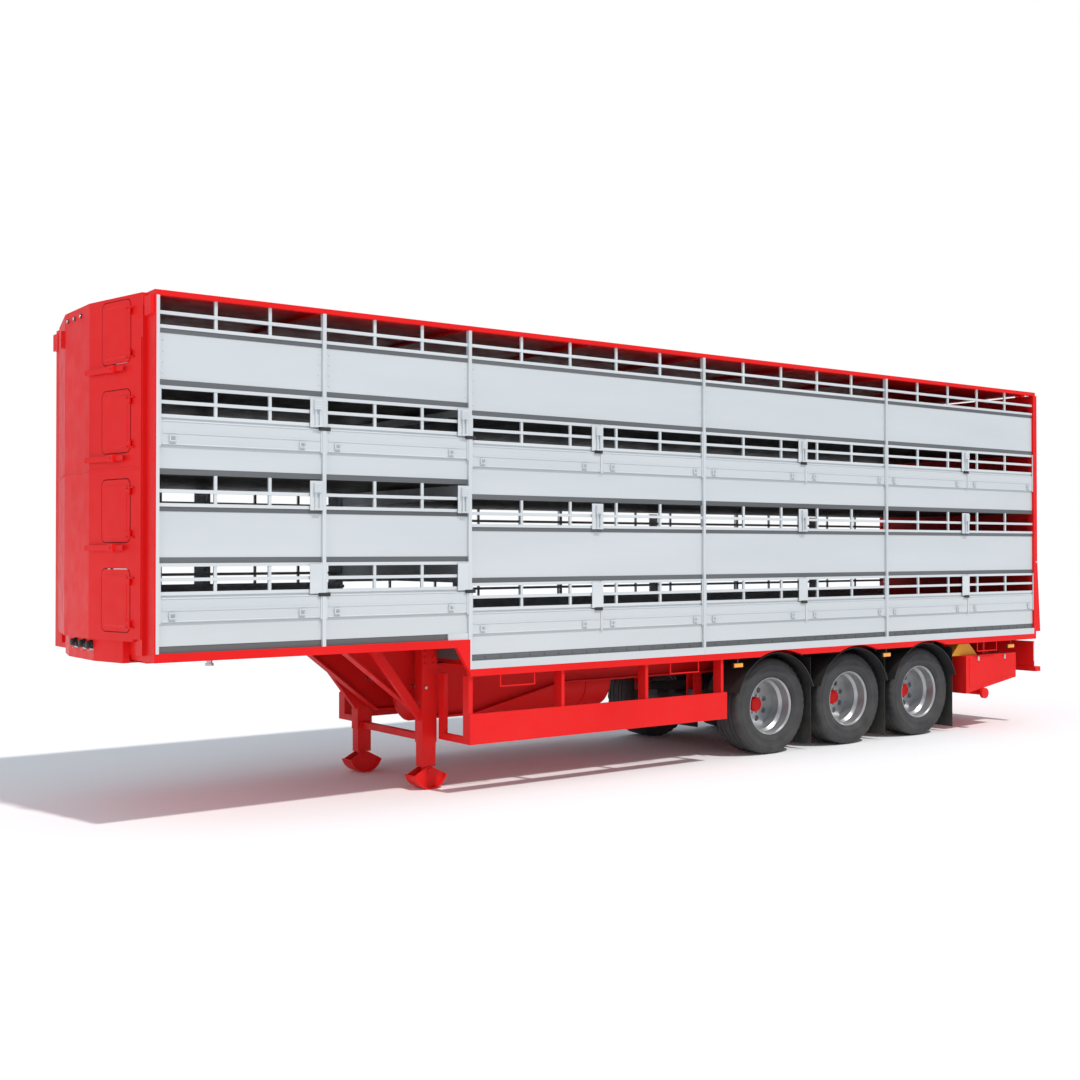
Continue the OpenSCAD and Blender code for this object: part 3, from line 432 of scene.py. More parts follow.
@dataclass
class Sketch:
    """A growing mesh of closed solids, all in the row frame."""

    points: list[Point] = field(default_factory=list)
    faces: list[tuple[int, ...]] = field(default_factory=list)

    def slab(self, low: Point, high: Point) -> None:
        """Add a block between two corners.

        Args:
            low: Lowest corner.
            high: Highest corner.
        """
        outline = [(low[0], low[1]), (high[0], low[1]),
                   (high[0], high[1]), (low[0], high[1])]
        self.prism([(x, y, low[2]) for x, y in outline],
                   [(x, y, high[2]) for x, y in outline])

    def prism(self, bottom: Sequence[Point], top: Sequence[Point]) -> None:
        """Add a closed solid between two outlines of the same length.

        Args:
            bottom: First outline.
            top: Second outline.
        """
        base, count = len(self.points), len(bottom)
        self.points += [*bottom, *top]
        self.faces.append(tuple(range(base + count - 1, base - 1, -1)))
        self.faces.append(tuple(range(base + count, base + 2 * count)))
        for i in range(count):
            j = (i + 1) % count
            self.faces.append((base + i, base + j, base + count + j,
                               base + count + i))

    def turned(self, centre: Point, axis: Point,
               profile: Sequence[tuple[float, float]], steps: int = 32,
               radius_at: Callable[[int, float, float], float] | None = None,
               ring: bool = False) -> None:
        """Add a solid turned about an axis.

        Args:
            centre: Where the axis starts.
            axis: Direction of the axis.
            profile: Radius and height of each point, from end to end.
            steps: Steps round the axis.
            radius_at: Changes a radius, given the step, radius and height.
            ring: True if the profile closes on itself.
        """
        way = Vector(axis).normalized()
        side = way.orthogonal().normalized()
        other = way.cross(side)
        base = len(self.points)
        for step in range(steps):
            angle = 2 * math.pi * step / steps
            out = side * math.cos(angle) + other * math.sin(angle)
            for radius, height in profile:
                wide = radius_at(step, radius, height) if radius_at else radius
                self.points.append(
                    tuple(Vector(centre) + way * height + out * wide))
        count = len(profile)
        spans = count if ring else count - 1
        for step in range(steps):
            near = base + step * count
            far = base + (step + 1) % steps * count
            for i in range(spans):
                j = (i + 1) % count
                self.faces.append((near + i, far + i, far + j, near + j))
        if not ring:
            self.faces.append(tuple(base + s * count
                                    for s in reversed(range(steps))))
            self.faces.append(tuple(base + s * count + count - 1
                                    for s in range(steps)))

    def piece(self, name: str, finish: Finish, body: str,
              replaced: Iterable[str] = (), bevel: float = 0.0,
              smooth: bool = False) -> bpy.types.Object:
        """Turn the sketch into a finished piece of the trailer.

        Args:
            name: The piece's name.
            finish: Its finish.
            body: The body it rides on.
            replaced: Nodes that it stands for.
            bevel: Width of the rounding of its edges.
            smooth: True for a smooth shaded surface.

        Returns:
            The piece.
        """
        mesh = bpy.data.meshes.new(name)
        mesh.from_pydata(self.points, [], self.faces)
        tidy = bmesh.new()
        tidy.from_mesh(mesh)
        bmesh.ops.remove_doubles(tidy, verts=tidy.verts,
                                 dist=WELD_DISTANCE)
        bmesh.ops.recalc_face_normals(tidy, faces=tidy.faces)
        if bevel:
            sharp = [e for e in tidy.edges
                     if e.calc_face_angle(0.0) > BEVEL_ANGLE]
            bmesh.ops.bevel(tidy, geom=sharp, offset=bevel, segments=2,
                            profile=0.5, affect="EDGES",
                            clamp_overlap=True)
        tidy.to_mesh(mesh)
        tidy.free()
        made = bpy.data.objects.new(name, mesh)
        bpy.context.collection.objects.link(made)
        mesh.materials.append(finish.material())
        if smooth:
            mesh.shade_smooth()
            mesh.set_sharp_from_angle(angle=SMOOTH_ANGLE)
        return settle(made, body, replaced)


def settle(made: bpy.types.Object, body: str,
           replaced: Iterable[str] = ()) -> bpy.types.Object:
    """Give a finished object its body and replaced nodes.

    Args:
        made: The object, in place.
        body: The body it rides on.
        replaced: Nodes that it stands for.

    Returns:
        The same object.
    """
    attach(made, body)
    if replaced:
        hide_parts(*replaced)
    LOG.info("%s: %d faces on %s", made.name, len(made.data.polygons), body)
    return made


class Repeat(Enum):
    """Shapes that are laid out many times."""

    RIVET = "rivet"
    BOLT = "bolt"
    RIB = "rib"


@dataclass
class Rows:
    """Many copies of one small shape, laid on points by Geometry Nodes."""

    kind: Repeat
    size: Point
    seats: list[Point] = field(default_factory=list)
    turns: list[Point] = field(default_factory=list)

    def add(self, seat: Point, outward: Point) -> None:
        """Add one seat.

        Args:
            seat: Where the shape's foot stands.
            outward: The way that the shape faces.
        """
        self.seats.append(seat)
        turn = Vector(outward).to_track_quat("Z", "Y").to_euler()
        self.turns.append(tuple(turn))

    def _shape(self, tree: bpy.types.NodeTree,
               source: bpy.types.Node) -> bpy.types.NodeSocket:
        """Make the repeated shape from the tree's own inputs.

        Args:
            tree: The node tree.
            source: The tree's group input.

        Returns:
            The shape's geometry.
        """
        lift = tree.nodes.new("ShaderNodeCombineXYZ")
        half = tree.nodes.new("ShaderNodeMath")
        half.operation = "MULTIPLY"
        half.inputs[1].default_value = 0.5
        if self.kind is Repeat.RIB:
            block = tree.nodes.new("GeometryNodeMeshCube")
            size = tree.nodes.new("ShaderNodeCombineXYZ")
            for axis, name in zip("XYZ", ("Length", "Width", "Height")):
                tree.links.new(source.outputs[name], size.inputs[axis])
            tree.links.new(size.outputs[0], block.inputs["Size"])
            tree.links.new(source.outputs["Height"], half.inputs[0])
        else:
            block = tree.nodes.new("GeometryNodeMeshCone")
            dome = self.kind is Repeat.RIVET
            block.inputs["Vertices"].default_value = 8 if dome else 6
            block.inputs["Side Segments"].default_value = 1
            tree.links.new(source.outputs["Length"],
                           block.inputs["Radius Bottom"])
            tree.links.new(source.outputs["Width"],
                           block.inputs["Radius Top"])
            tree.links.new(source.outputs["Height"], block.inputs["Depth"])
            half.inputs[0].default_value = 0.0
        tree.links.new(half.outputs[0], lift.inputs["Z"])
        shift = tree.nodes.new("GeometryNodeTransform")
        tree.links.new(block.outputs["Mesh"], shift.inputs["Geometry"])
        tree.links.new(lift.outputs[0], shift.inputs["Translation"])
        return shift.outputs["Geometry"]

    def _tree(self, name: str) -> bpy.types.NodeTree:
        """Build the tree that lays the shape on every seat.

        Args:
            name: The tree's name.

        Returns:
            The node tree.
        """
        tree = bpy.data.node_groups.new(name, "GeometryNodeTree")
        face = tree.interface
        face.new_socket("Geometry", in_out="INPUT",
                        socket_type="NodeSocketGeometry")
        for label in ("Length", "Width", "Height"):
            face.new_socket(label, in_out="INPUT",
                            socket_type="NodeSocketFloat")
        face.new_socket("Finish", in_out="INPUT",
                        socket_type="NodeSocketMaterial")
        face.new_socket("Geometry", in_out="OUTPUT",
                        socket_type="NodeSocketGeometry")
        source = tree.nodes.new("NodeGroupInput")
        result = tree.nodes.new("NodeGroupOutput")
        lay = tree.nodes.new("GeometryNodeInstanceOnPoints")
        turn = tree.nodes.new("GeometryNodeInputNamedAttribute")
        turn.data_type = "FLOAT_VECTOR"
        turn.inputs["Name"].default_value = "turn"
        real = tree.nodes.new("GeometryNodeRealizeInstances")
        paint = tree.nodes.new("GeometryNodeSetMaterial")
        links = tree.links
        links.new(source.outputs["Geometry"], lay.inputs["Points"])
        links.new(self._shape(tree, source), lay.inputs["Instance"])
        links.new(turn.outputs["Attribute"], lay.inputs["Rotation"])
        links.new(lay.outputs["Instances"], real.inputs["Geometry"])
        links.new(real.outputs["Geometry"], paint.inputs["Geometry"])
        links.new(source.outputs["Finish"], paint.inputs["Material"])
        links.new(paint.outputs["Geometry"], result.inputs["Geometry"])
        return tree

    def piece(self, name: str, finish: Finish,
              body: str) -> bpy.types.Object:
        """Evaluate the tree once and keep its result as a plain mesh.

        Args:
            name: The piece's name.
            finish: Its finish.
            body: The body it rides on.

        Returns:
            The piece.
        """
        mesh = bpy.data.meshes.new(name + "_seats")
        mesh.from_pydata(self.seats, [], [])
        turn = mesh.attributes.new("turn", "FLOAT_VECTOR", "POINT")
        turn.data.foreach_set("vector", [v for t in self.turns for v in t])
        made = bpy.data.objects.new(name, mesh)
        bpy.context.collection.objects.link(made)
        tree = self._tree(name + "_rows")
        modifier = made.modifiers.new("rows", "NODES")
        modifier.node_group = tree
        values = dict(zip(("Length", "Width", "Height"), self.size))
        values["Finish"] = finish.material()
        for item in tree.interface.items_tree:
            if item.in_out == "INPUT" and item.name in values:
                modifier[item.identifier] = values[item.name]
        graph = bpy.context.evaluated_depsgraph_get()
        plain = bpy.data.meshes.new_from_object(made.evaluated_get(graph))
        made.modifiers.clear()
        made.data = plain
        plain.name = name
        return settle(made, body)


def finish_nodes() -> None:
    """Give every carried-over node its own finish."""
    for finish, nodes in NODE_FINISHES.items():
        for node in nodes:
            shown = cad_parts[node]
            shown.data.materials.clear()
            shown.data.materials.append(finish.material())


# ---------------------------------------------------------- sub-assemblies


@dataclass(frozen=True)
class Bay:
    """One bay of a side wall, between two posts."""

    start: float
    end: float
    split: float
    rear: bool


@dataclass
class BodyPlan:
    """Where the body's bays, decks and walls are, from its two ends.

    Attributes:
        front: Front of the side walls.
        rear: Front of the rear frame.
        corner: How far the side rails stand behind the walls' front.
        wall: Outer face of the wall panels, from the middle plane.
        posts: Middle of each post, back from the front.
        half_post: Half a post's width.
        first_start: Where the first bay starts, behind its corner.
        split_shift: How far a bay's split is behind its middle.
        step_bay: First bay behind the step in the floor.
        low_tops: Tops of the decks behind the step.
        raised_tops: Tops of the decks ahead of the step.
        roof_top: Height that the top deck's ceiling is measured from.
        deck_depth: Depth of a deck.
    """

    front: float = field(init=False)
    rear: float = field(init=False)
    corner: float = 0.012
    wall: float = 1.225
    posts: tuple[float, ...] = (0.0, 1.3565, 2.713, 5.3923, 8.0716, 10.751)
    half_post: float = 0.015
    first_start: float = 0.037
    split_shift: float = 0.080
    step_bay: int = 2
    low_tops: tuple[float, ...] = (1.217, 1.880, 2.6053, 3.3306)
    raised_tops: tuple[float, ...] = (1.404, 2.067, 2.730, 3.393)
    roof_top: float = 4.060
    deck_depth: float = 0.044

    def __post_init__(self) -> None:
        """Read the body's ends from the side rails and the rear frame."""
        self.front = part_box("side_rails")[0].x - self.corner
        self.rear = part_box("rear_frame")[0].x

    def bays(self) -> list[Bay]:
        """Give the bays from the nose to the rear.

        Returns:
            The five bays.
        """
        made = []
        last = len(self.posts) - 2
        for i, (near, far) in enumerate(zip(self.posts, self.posts[1:])):
            start = near + self.half_post if i else self.first_start
            end = far if i == last else far - self.half_post
            split = (near + far) / 2 + self.split_shift
            made.append(Bay(self.front + start, self.front + end,
                            self.front + split, i >= self.step_bay))
        return made

    def decks(self, rear: bool) -> list[tuple[float, float]]:
        """Floor top and ceiling of each deck.

        Args:
            rear: True for the low part behind the step.

        Returns:
            One pair for each deck, from the lowest up.
        """
        tops = self.low_tops if rear else self.raised_tops
        above = (*tops[1:], self.roof_top)
        return [(top, over - self.deck_depth)
                for top, over in zip(tops, above)]


@dataclass
class SideWalls:
    """Rivets, sill bolts, flap beads, drive ribs and painted slot shadows of both sides.

    In a low bay the drives and slots stand ahead of the bay's split, and
    in a raised bay they stand at its rear post. Faces are distances from
    the middle plane, and drops are measured down from a ceiling.
    """

    plan: BodyPlan
    rivet: Point = (0.0085, 0.0045, 0.004)
    rivets_high: int = 4
    rivet_inset: float = 0.030
    rivet_margin: float = 0.050
    vent_high: float = 0.275
    bolt: Point = (0.010, 0.008, 0.006)
    bolt_pitch: float = 0.16
    bolt_z: float = 1.190
    bolt_seat: float = 1.221
    flap_drop: float = 0.258
    bead_drops: tuple[float, float] = (0.006, 0.179)
    bead_inset: float = 0.024
    bead_foot: float = 1.2360
    bead_depth: float = 0.0055
    bead_tall: float = 0.006
    rib_faces: tuple[float, float] = (1.2745, 1.2785)
    rib_half: tuple[float, float] = (0.030, 0.005)
    rib_drop: float = 0.042
    rib_pitch: float = 0.021
    ribs: int = 3
    split_drive: float = 0.0435
    post_drive: float = 0.0465
    slot_faces: tuple[float, float] = (1.2502, 1.2512)
    slot_drop: float = 0.243
    slot_high: float = 0.030
    split_slot: float = 0.040
    slot_half: tuple[float, float] = (0.046, 0.052)

    def build(self) -> None:
        """Build both sides."""
        for side in Side:
            self.rivets(side)
            self.sill_bolts(side)
            self.flap_beads(side)
            self.drive_covers(side)
            self.flap_slots(side)

    def rivets(self, side: Side) -> None:
        """Rivet the plain panels to their posts.

        Args:
            side: The side to rivet.
        """
        rows = Rows(Repeat.RIVET, self.rivet)
        y = side.value * self.plan.wall
        for bay in self.plan.bays():
            floor, ceiling = self.plan.decks(bay.rear)[-1]
            low = floor + self.rivet_margin
            high = ceiling - self.vent_high - self.rivet_margin
            for i in range(self.rivets_high):
                z = low + (high - low) * i / (self.rivets_high - 1)
                for x in (bay.start + self.rivet_inset,
                          bay.end - self.rivet_inset):
                    rows.add((x, y, z), side.outward)
        rows.piece(f"panel_rivets_{side.word}", POST_WHITE, CHASSIS)

    def sill_bolts(self, side: Side) -> None:
        """Bolt the lowest channel to the floor's edge.

        Args:
            side: The side to bolt.
        """
        rows = Rows(Repeat.BOLT, self.bolt)
        y = side.value * self.bolt_seat
        for bay in self.plan.bays():
            if not bay.rear:
                continue
            count = round((bay.end - bay.start) / self.bolt_pitch)
            for i in range(1, count):
                x = bay.start + (bay.end - bay.start) * i / count
                rows.add((x, y, self.bolt_z), side.outward)
        rows.piece(f"sill_bolts_{side.word}", SHADED_CHANNEL_GREY, CHASSIS)

    def flap_beads(self, side: Side) -> None:
        """Roll a stiffening bead along the edges of every flap.

        Args:
            side: The side whose flaps are beaded.
        """
        for level, word in ((0, "lower"), (2, "upper")):
            node = f"flap_{side.word}_{word}"
            sketch = Sketch()
            for bay in self.plan.bays():
                top = self.plan.decks(bay.rear)[level][1] - self.flap_drop
                edges = ([(bay.start, bay.split), (bay.split, bay.end)]
                         if bay.rear else [(bay.start, bay.end)])
                for low, high in edges:
                    for drop in self.bead_drops:
                        self._bead(sketch, side, low + self.bead_inset,
                                   high - self.bead_inset, top - drop)
            sketch.piece(f"{node}_beads", PANEL_WHITE, f"{node}_body",
                         smooth=True)

    def _bead(self, sketch: Sketch, side: Side, low: float, high: float,
              z: float) -> None:
        """Add one half-round bead on the outer face of a flap.

        Args:
            sketch: The mesh to add to.
            side: The side it is on.
            low: Front end.
            high: Rear end.
            z: Height of its middle.
        """
        arc = [(side.value * (self.bead_foot
                              + self.bead_depth * math.sin(angle)),
                z + self.bead_tall * math.cos(angle))
               for angle in (math.pi * i / 6 for i in range(7))]
        sketch.prism([(low, *at) for at in arc], [(high, *at) for at in arc])

    def drive_covers(self, side: Side) -> None:
        """Rib the cover of each flap drive.

        Args:
            side: The side whose covers are ribbed.
        """
        sketch = Sketch()
        near, far = side.span(*self.rib_faces)
        wide, tall = self.rib_half
        for bay in self.plan.bays():
            middle = (bay.split - self.split_drive if bay.rear
                      else bay.end - self.post_drive)
            for level in (1, 2):
                ceiling = self.plan.decks(bay.rear)[level][1]
                for k in range(self.ribs):
                    z = ceiling - self.rib_drop - k * self.rib_pitch
                    sketch.slab((middle - wide, near, z - tall),
                                (middle + wide, far, z + tall))
        sketch.piece(f"drive_cover_ribs_{side.word}", RAIL_WHITE, CHASSIS,
                     bevel=0.001)

    def flap_slots(self, side: Side) -> None:
        """Paint black shade into the slots where the flaps run up behind their drives.

        Args:
            side: The side whose slots are shown.
        """
        sketch = Sketch()
        near, far = side.span(*self.slot_faces)
        for bay in self.plan.bays():
            if bay.rear:
                middle, wide = bay.split - self.split_slot, self.slot_half[0]
            else:
                middle = bay.end + self.plan.half_post
                wide = self.slot_half[1]
            for level in (0, 2):
                top = self.plan.decks(bay.rear)[level][1] - self.slot_drop
                # thin black sheets on the wall face: painted shade of the gap at each
                # flap's top
                sketch.slab((middle - wide, near, top - self.slot_high),
                            (middle + wide, far, top))
        sketch.piece(f"flap_slots_{side.word}", BLACK_RUBBER, CHASSIS)


@dataclass
class Nose:
    """Lamps, hatch seams, hinges, strips and couplings of the folded nose.

    The nose has a flat middle as far as the fold on each side, and a facet
    from there to the outer corner. Depth and back are how far ahead of the
    walls its middle and its outer corners stand.
    """

    plan: BodyPlan
    fold: float = 0.320
    outer: float = 1.060
    depth: float = 0.190
    back: float = 0.030
    hatch: tuple[float, float] = (0.400, 0.475)
    hatch_low: float = 1.502
    hatch_pitch: float = 0.663 * 1.029
    corner: float = 0.050
    margin: float = 0.160
    seam: tuple[float, float] = (0.0045, 0.0085)
    seam_raise: float = 0.0009
    field_inset: tuple[float, float] = (0.038, 0.045)
    field_raise: tuple[float, float] = (0.0019, 0.0058)
    lamp_z: float = 3.986
    lamp_y: Point = (-0.105, 0.065, 0.235)
    coupling_y: Point = (0.120, -0.100, -0.280)
    coupling_z: float = 1.385
    plug_y: tuple[float, float] = (0.030, -0.190)
    plug_z: float = 1.370
    recess: float = 0.040
    ledge: tuple[float, float] = (2.733, 2.747)
    ledge_reach: float = 0.007
    strip_wide: float = 0.080
    strip_thick: float = 0.006
    strip_ends: tuple[float, float] = (1.452, 3.720)
    hinge_reach: float = 0.020
    hinge_half: float = 0.004
    hinge_z: tuple[float, float] = (0.034, 0.411)
    leaf_span: tuple[float, float] = (-0.060, -0.006)
    stay_span: tuple[float, float] = (0.030, 0.062)

    def build(self) -> None:
        """Build every piece of the nose."""
        self.lamps()
        self.hatch_seam_shadows()
        self.hatch_frames()
        self.coupling_caps()
        self.seam_ledge()
        self.edge_strip()
        self.hinge_plates()

    def facet(self) -> tuple[Matrix, float]:
        """Frame of the left facet: local x outwards along it, -y outside.

        Returns:
            The matrix and the facet's length.
        """
        run = Vector((self.depth - self.back, -(self.outer - self.fold), 0))
        turn = Matrix.Rotation(math.atan2(run.y, run.x), 4, "Z")
        place = Matrix.Translation((self.plan.front - self.depth,
                                    -self.fold, 0))
        return place @ turn, run.length

    def _across(self, outline: Sequence[tuple[float, float]],
                z: float) -> list[Point]:
        """Set an outline, seen from above, on the left facet.

        Args:
            outline: Points along the facet and away from it.
            z: Height of the outline.

        Returns:
            The points in the trailer's frame.
        """
        place = self.facet()[0]
        return [tuple(place @ Vector((x, y, z))) for x, y in outline]

    def _flat(self, outline: Sequence[tuple[float, float]],
              y: float) -> list[Point]:
        """Set an outline, seen from the front, on the left facet.

        Args:
            outline: Points along the facet and up it.
            y: Distance from the facet, less than zero outside.

        Returns:
            The points in the trailer's frame.
        """
        place = self.facet()[0]
        return [tuple(place @ Vector((x, y, z))) for x, z in outline]

    def _free_edge(self) -> float:
        """Give the place of the hatches' free edge along the facet.

        Returns:
            Distance from the inner fold.
        """
        return self.facet()[1] - self.margin - self.hatch[0]

    def heights(self) -> list[float]:
        """Lower edge of each hatch.

        Returns:
            Four heights, from the lowest up.
        """
        return [self.hatch_low + k * self.hatch_pitch for k in range(4)]

    def lamps(self) -> None:
        """Turn the three small round lamps at the top of the nose."""
        glass, bezel = Sketch(), Sketch()
        x = self.plan.front - self.depth
        for y in self.lamp_y:
            bezel.turned((x + 0.001, y, self.lamp_z), (-1, 0, 0),
                         [(0.0185, 0.0), (0.0185, 0.008), (0.0165, 0.010),
                          (0.0145, 0.010)], 24)
            glass.turned((x, y, self.lamp_z), (-1, 0, 0),
                         [(0.014, 0.006), (0.0135, 0.0115), (0.010, 0.0140),
                          (0.005, 0.0150)], 24)
        bezel.piece("nose_lamp_bezels", BLACK_PLASTIC, CHASSIS, smooth=True)
        glass.piece("nose_lamp_glasses", CLEAR_LENS, CHASSIS, smooth=True)

    def _loop(self, low: float, grow: float) -> list[tuple[float, float]]:
        """Rounded outline of a hatch on its facet.

        Args:
            low: Lower edge of the hatch.
            grow: How far outside the hatch the outline runs.

        Returns:
            Points of the outline as facet x and height.
        """
        wide, high = self.hatch
        left, radius = self._free_edge(), self.corner
        turn = radius + grow
        points = []
        for i, (cx, cz) in enumerate((
                (left + wide - radius, low + radius),
                (left + wide - radius, low + high - radius),
                (left + radius, low + high - radius),
                (left + radius, low + radius))):
            for step in range(7):
                angle = math.radians(-90 + 90 * i + 15 * step)
                points.append((cx + turn * math.cos(angle),
                               cz + turn * math.sin(angle)))
        return points

    def _frame_ring(self, sketch: Sketch, low: float, inner: float,
                    outer: float, faces: tuple[float, float]) -> None:
        """Add a flat ring round one hatch.

        Args:
            sketch: The mesh to add to.
            low: Lower edge of the hatch.
            inner: Growth of the ring's inside.
            outer: Growth of the ring's outside.
            faces: Local y of its back and front.
        """
        inside, outside = self._loop(low, inner), self._loop(low, outer)
        base, count = len(sketch.points), len(inside)
        for outline, y in ((inside, faces[0]), (outside, faces[0]),
                           (outside, faces[1]), (inside, faces[1])):
            sketch.points += self._flat(outline, y)
        for i in range(count):
            j = (i + 1) % count
            for layer in range(4):
                near = base + layer * count
                far = base + (layer + 1) % 4 * count
                sketch.faces.append((near + i, near + j, far + j, far + i))

    def hatch_seam_shadows(self) -> None:
        """Lay a thin dark red ring round each hatch as painted shade of its seam gap."""
        sketch = Sketch()
        for low in self.heights():
            self._frame_ring(sketch, low, *self.seam,
                             (0.0, -self.seam_raise))
        sketch.piece("hatch_seam_shadows", SEAM_SHADE_RED, CHASSIS)

    def hatch_frames(self) -> None:
        """Press a shallow raised field into each hatch."""
        for k, low in enumerate(self.heights(), 1):
            sketch = Sketch()
            foot, top = (self._flat(self._loop(low, -inset), -rise)
                         for inset, rise in zip(self.field_inset,
                                                self.field_raise))
            sketch.prism(foot, top)
            sketch.piece(f"hatch_{k}_field", HATCH_PAINT,
                         f"hatch_{k}_body")

    def coupling_caps(self) -> None:
        """Cap the air and power couplings and bracket them."""
        x = self.plan.front - self.depth + self.recess
        caps, plates = Sketch(), Sketch()
        for y in self.coupling_y:
            caps.turned((x - 0.026, y, self.coupling_z), (-1, 0, 0),
                        [(0.0285, 0.0), (0.0285, 0.005), (0.0265, 0.007),
                         (0.0285, 0.009), (0.0285, 0.014), (0.024, 0.020),
                         (0.010, 0.0225)], 24)
        for y in self.plug_y:
            caps.turned((x - 0.018, y, self.plug_z), (-1, 0, 0),
                        [(0.0175, 0.0), (0.0175, 0.010), (0.015, 0.016),
                         (0.006, 0.018)], 20)
        for y in self.coupling_y:
            plates.slab((x - 0.004, y - 0.045, self.coupling_z - 0.049),
                        (x, y + 0.045, self.coupling_z - 0.035))
            plates.slab((x - 0.030, y - 0.020, self.coupling_z - 0.051),
                        (x, y + 0.020, self.coupling_z - 0.047))
        caps.piece("coupling_caps", BLACK_PLASTIC, CHASSIS, smooth=True)
        plates.piece("coupling_brackets", BRIGHT_STEEL, CHASSIS,
                     bevel=0.001)

    def seam_ledge(self) -> None:
        """Fold a shallow ledge round the nose where its panels join."""
        front = self.plan.front
        line = [(front - self.back, -self.outer),
                (front - self.depth, -self.fold),
                (front - self.depth, self.fold),
                (front - self.back, self.outer)]
        line += [(x - self.ledge_reach, y) for x, y in reversed(line)]
        low, high = self.ledge
        ledge = Sketch()
        ledge.prism([(x, y, low) for x, y in line],
                    [(x, y, high) for x, y in line])
        ledge.piece("nose_seam_ledge", RED_PAINT, CHASSIS)

    def edge_strip(self) -> None:
        """Lap a strip over the outer edge of the left facet."""
        end, gap = self.facet()[1] - 0.002, 0.001
        start, thick = end - self.strip_wide, self.strip_thick
        outline = ((start, -thick), (end, -thick), (end, 0.0), (start, 0.0))
        strip = Sketch()
        for low, high in ((self.strip_ends[0], self.ledge[0] - gap),
                          (self.ledge[1] + gap, self.strip_ends[1])):
            strip.prism(self._across(outline, low),
                        self._across(outline, high))
        strip.piece("nose_edge_strip", RED_PAINT, CHASSIS)

    def hinge_plates(self) -> None:
        """Set thin flanges across each hatch's hinged edge."""
        edge = self.facet()[1] - self.margin
        out, half = -self.hinge_reach, self.hinge_half
        for k, low in enumerate(self.heights(), 1):
            leaf, stay = Sketch(), Sketch()
            for z in (low + rise for rise in self.hinge_z):
                for sketch, span in ((leaf, self.leaf_span),
                                     (stay, self.stay_span)):
                    start, end = edge + span[0], edge + span[1]
                    outline = ((start, out), (end, out), (end, 0.0),
                               (start, 0.0))
                    sketch.prism(self._across(outline, z - half),
                                 self._across(outline, z + half))
            leaf.piece(f"hatch_{k}_hinge_plates", HATCH_PAINT,
                       f"hatch_{k}_body")
            stay.piece(f"hatch_{k}_hinge_stays", RED_PAINT, CHASSIS)


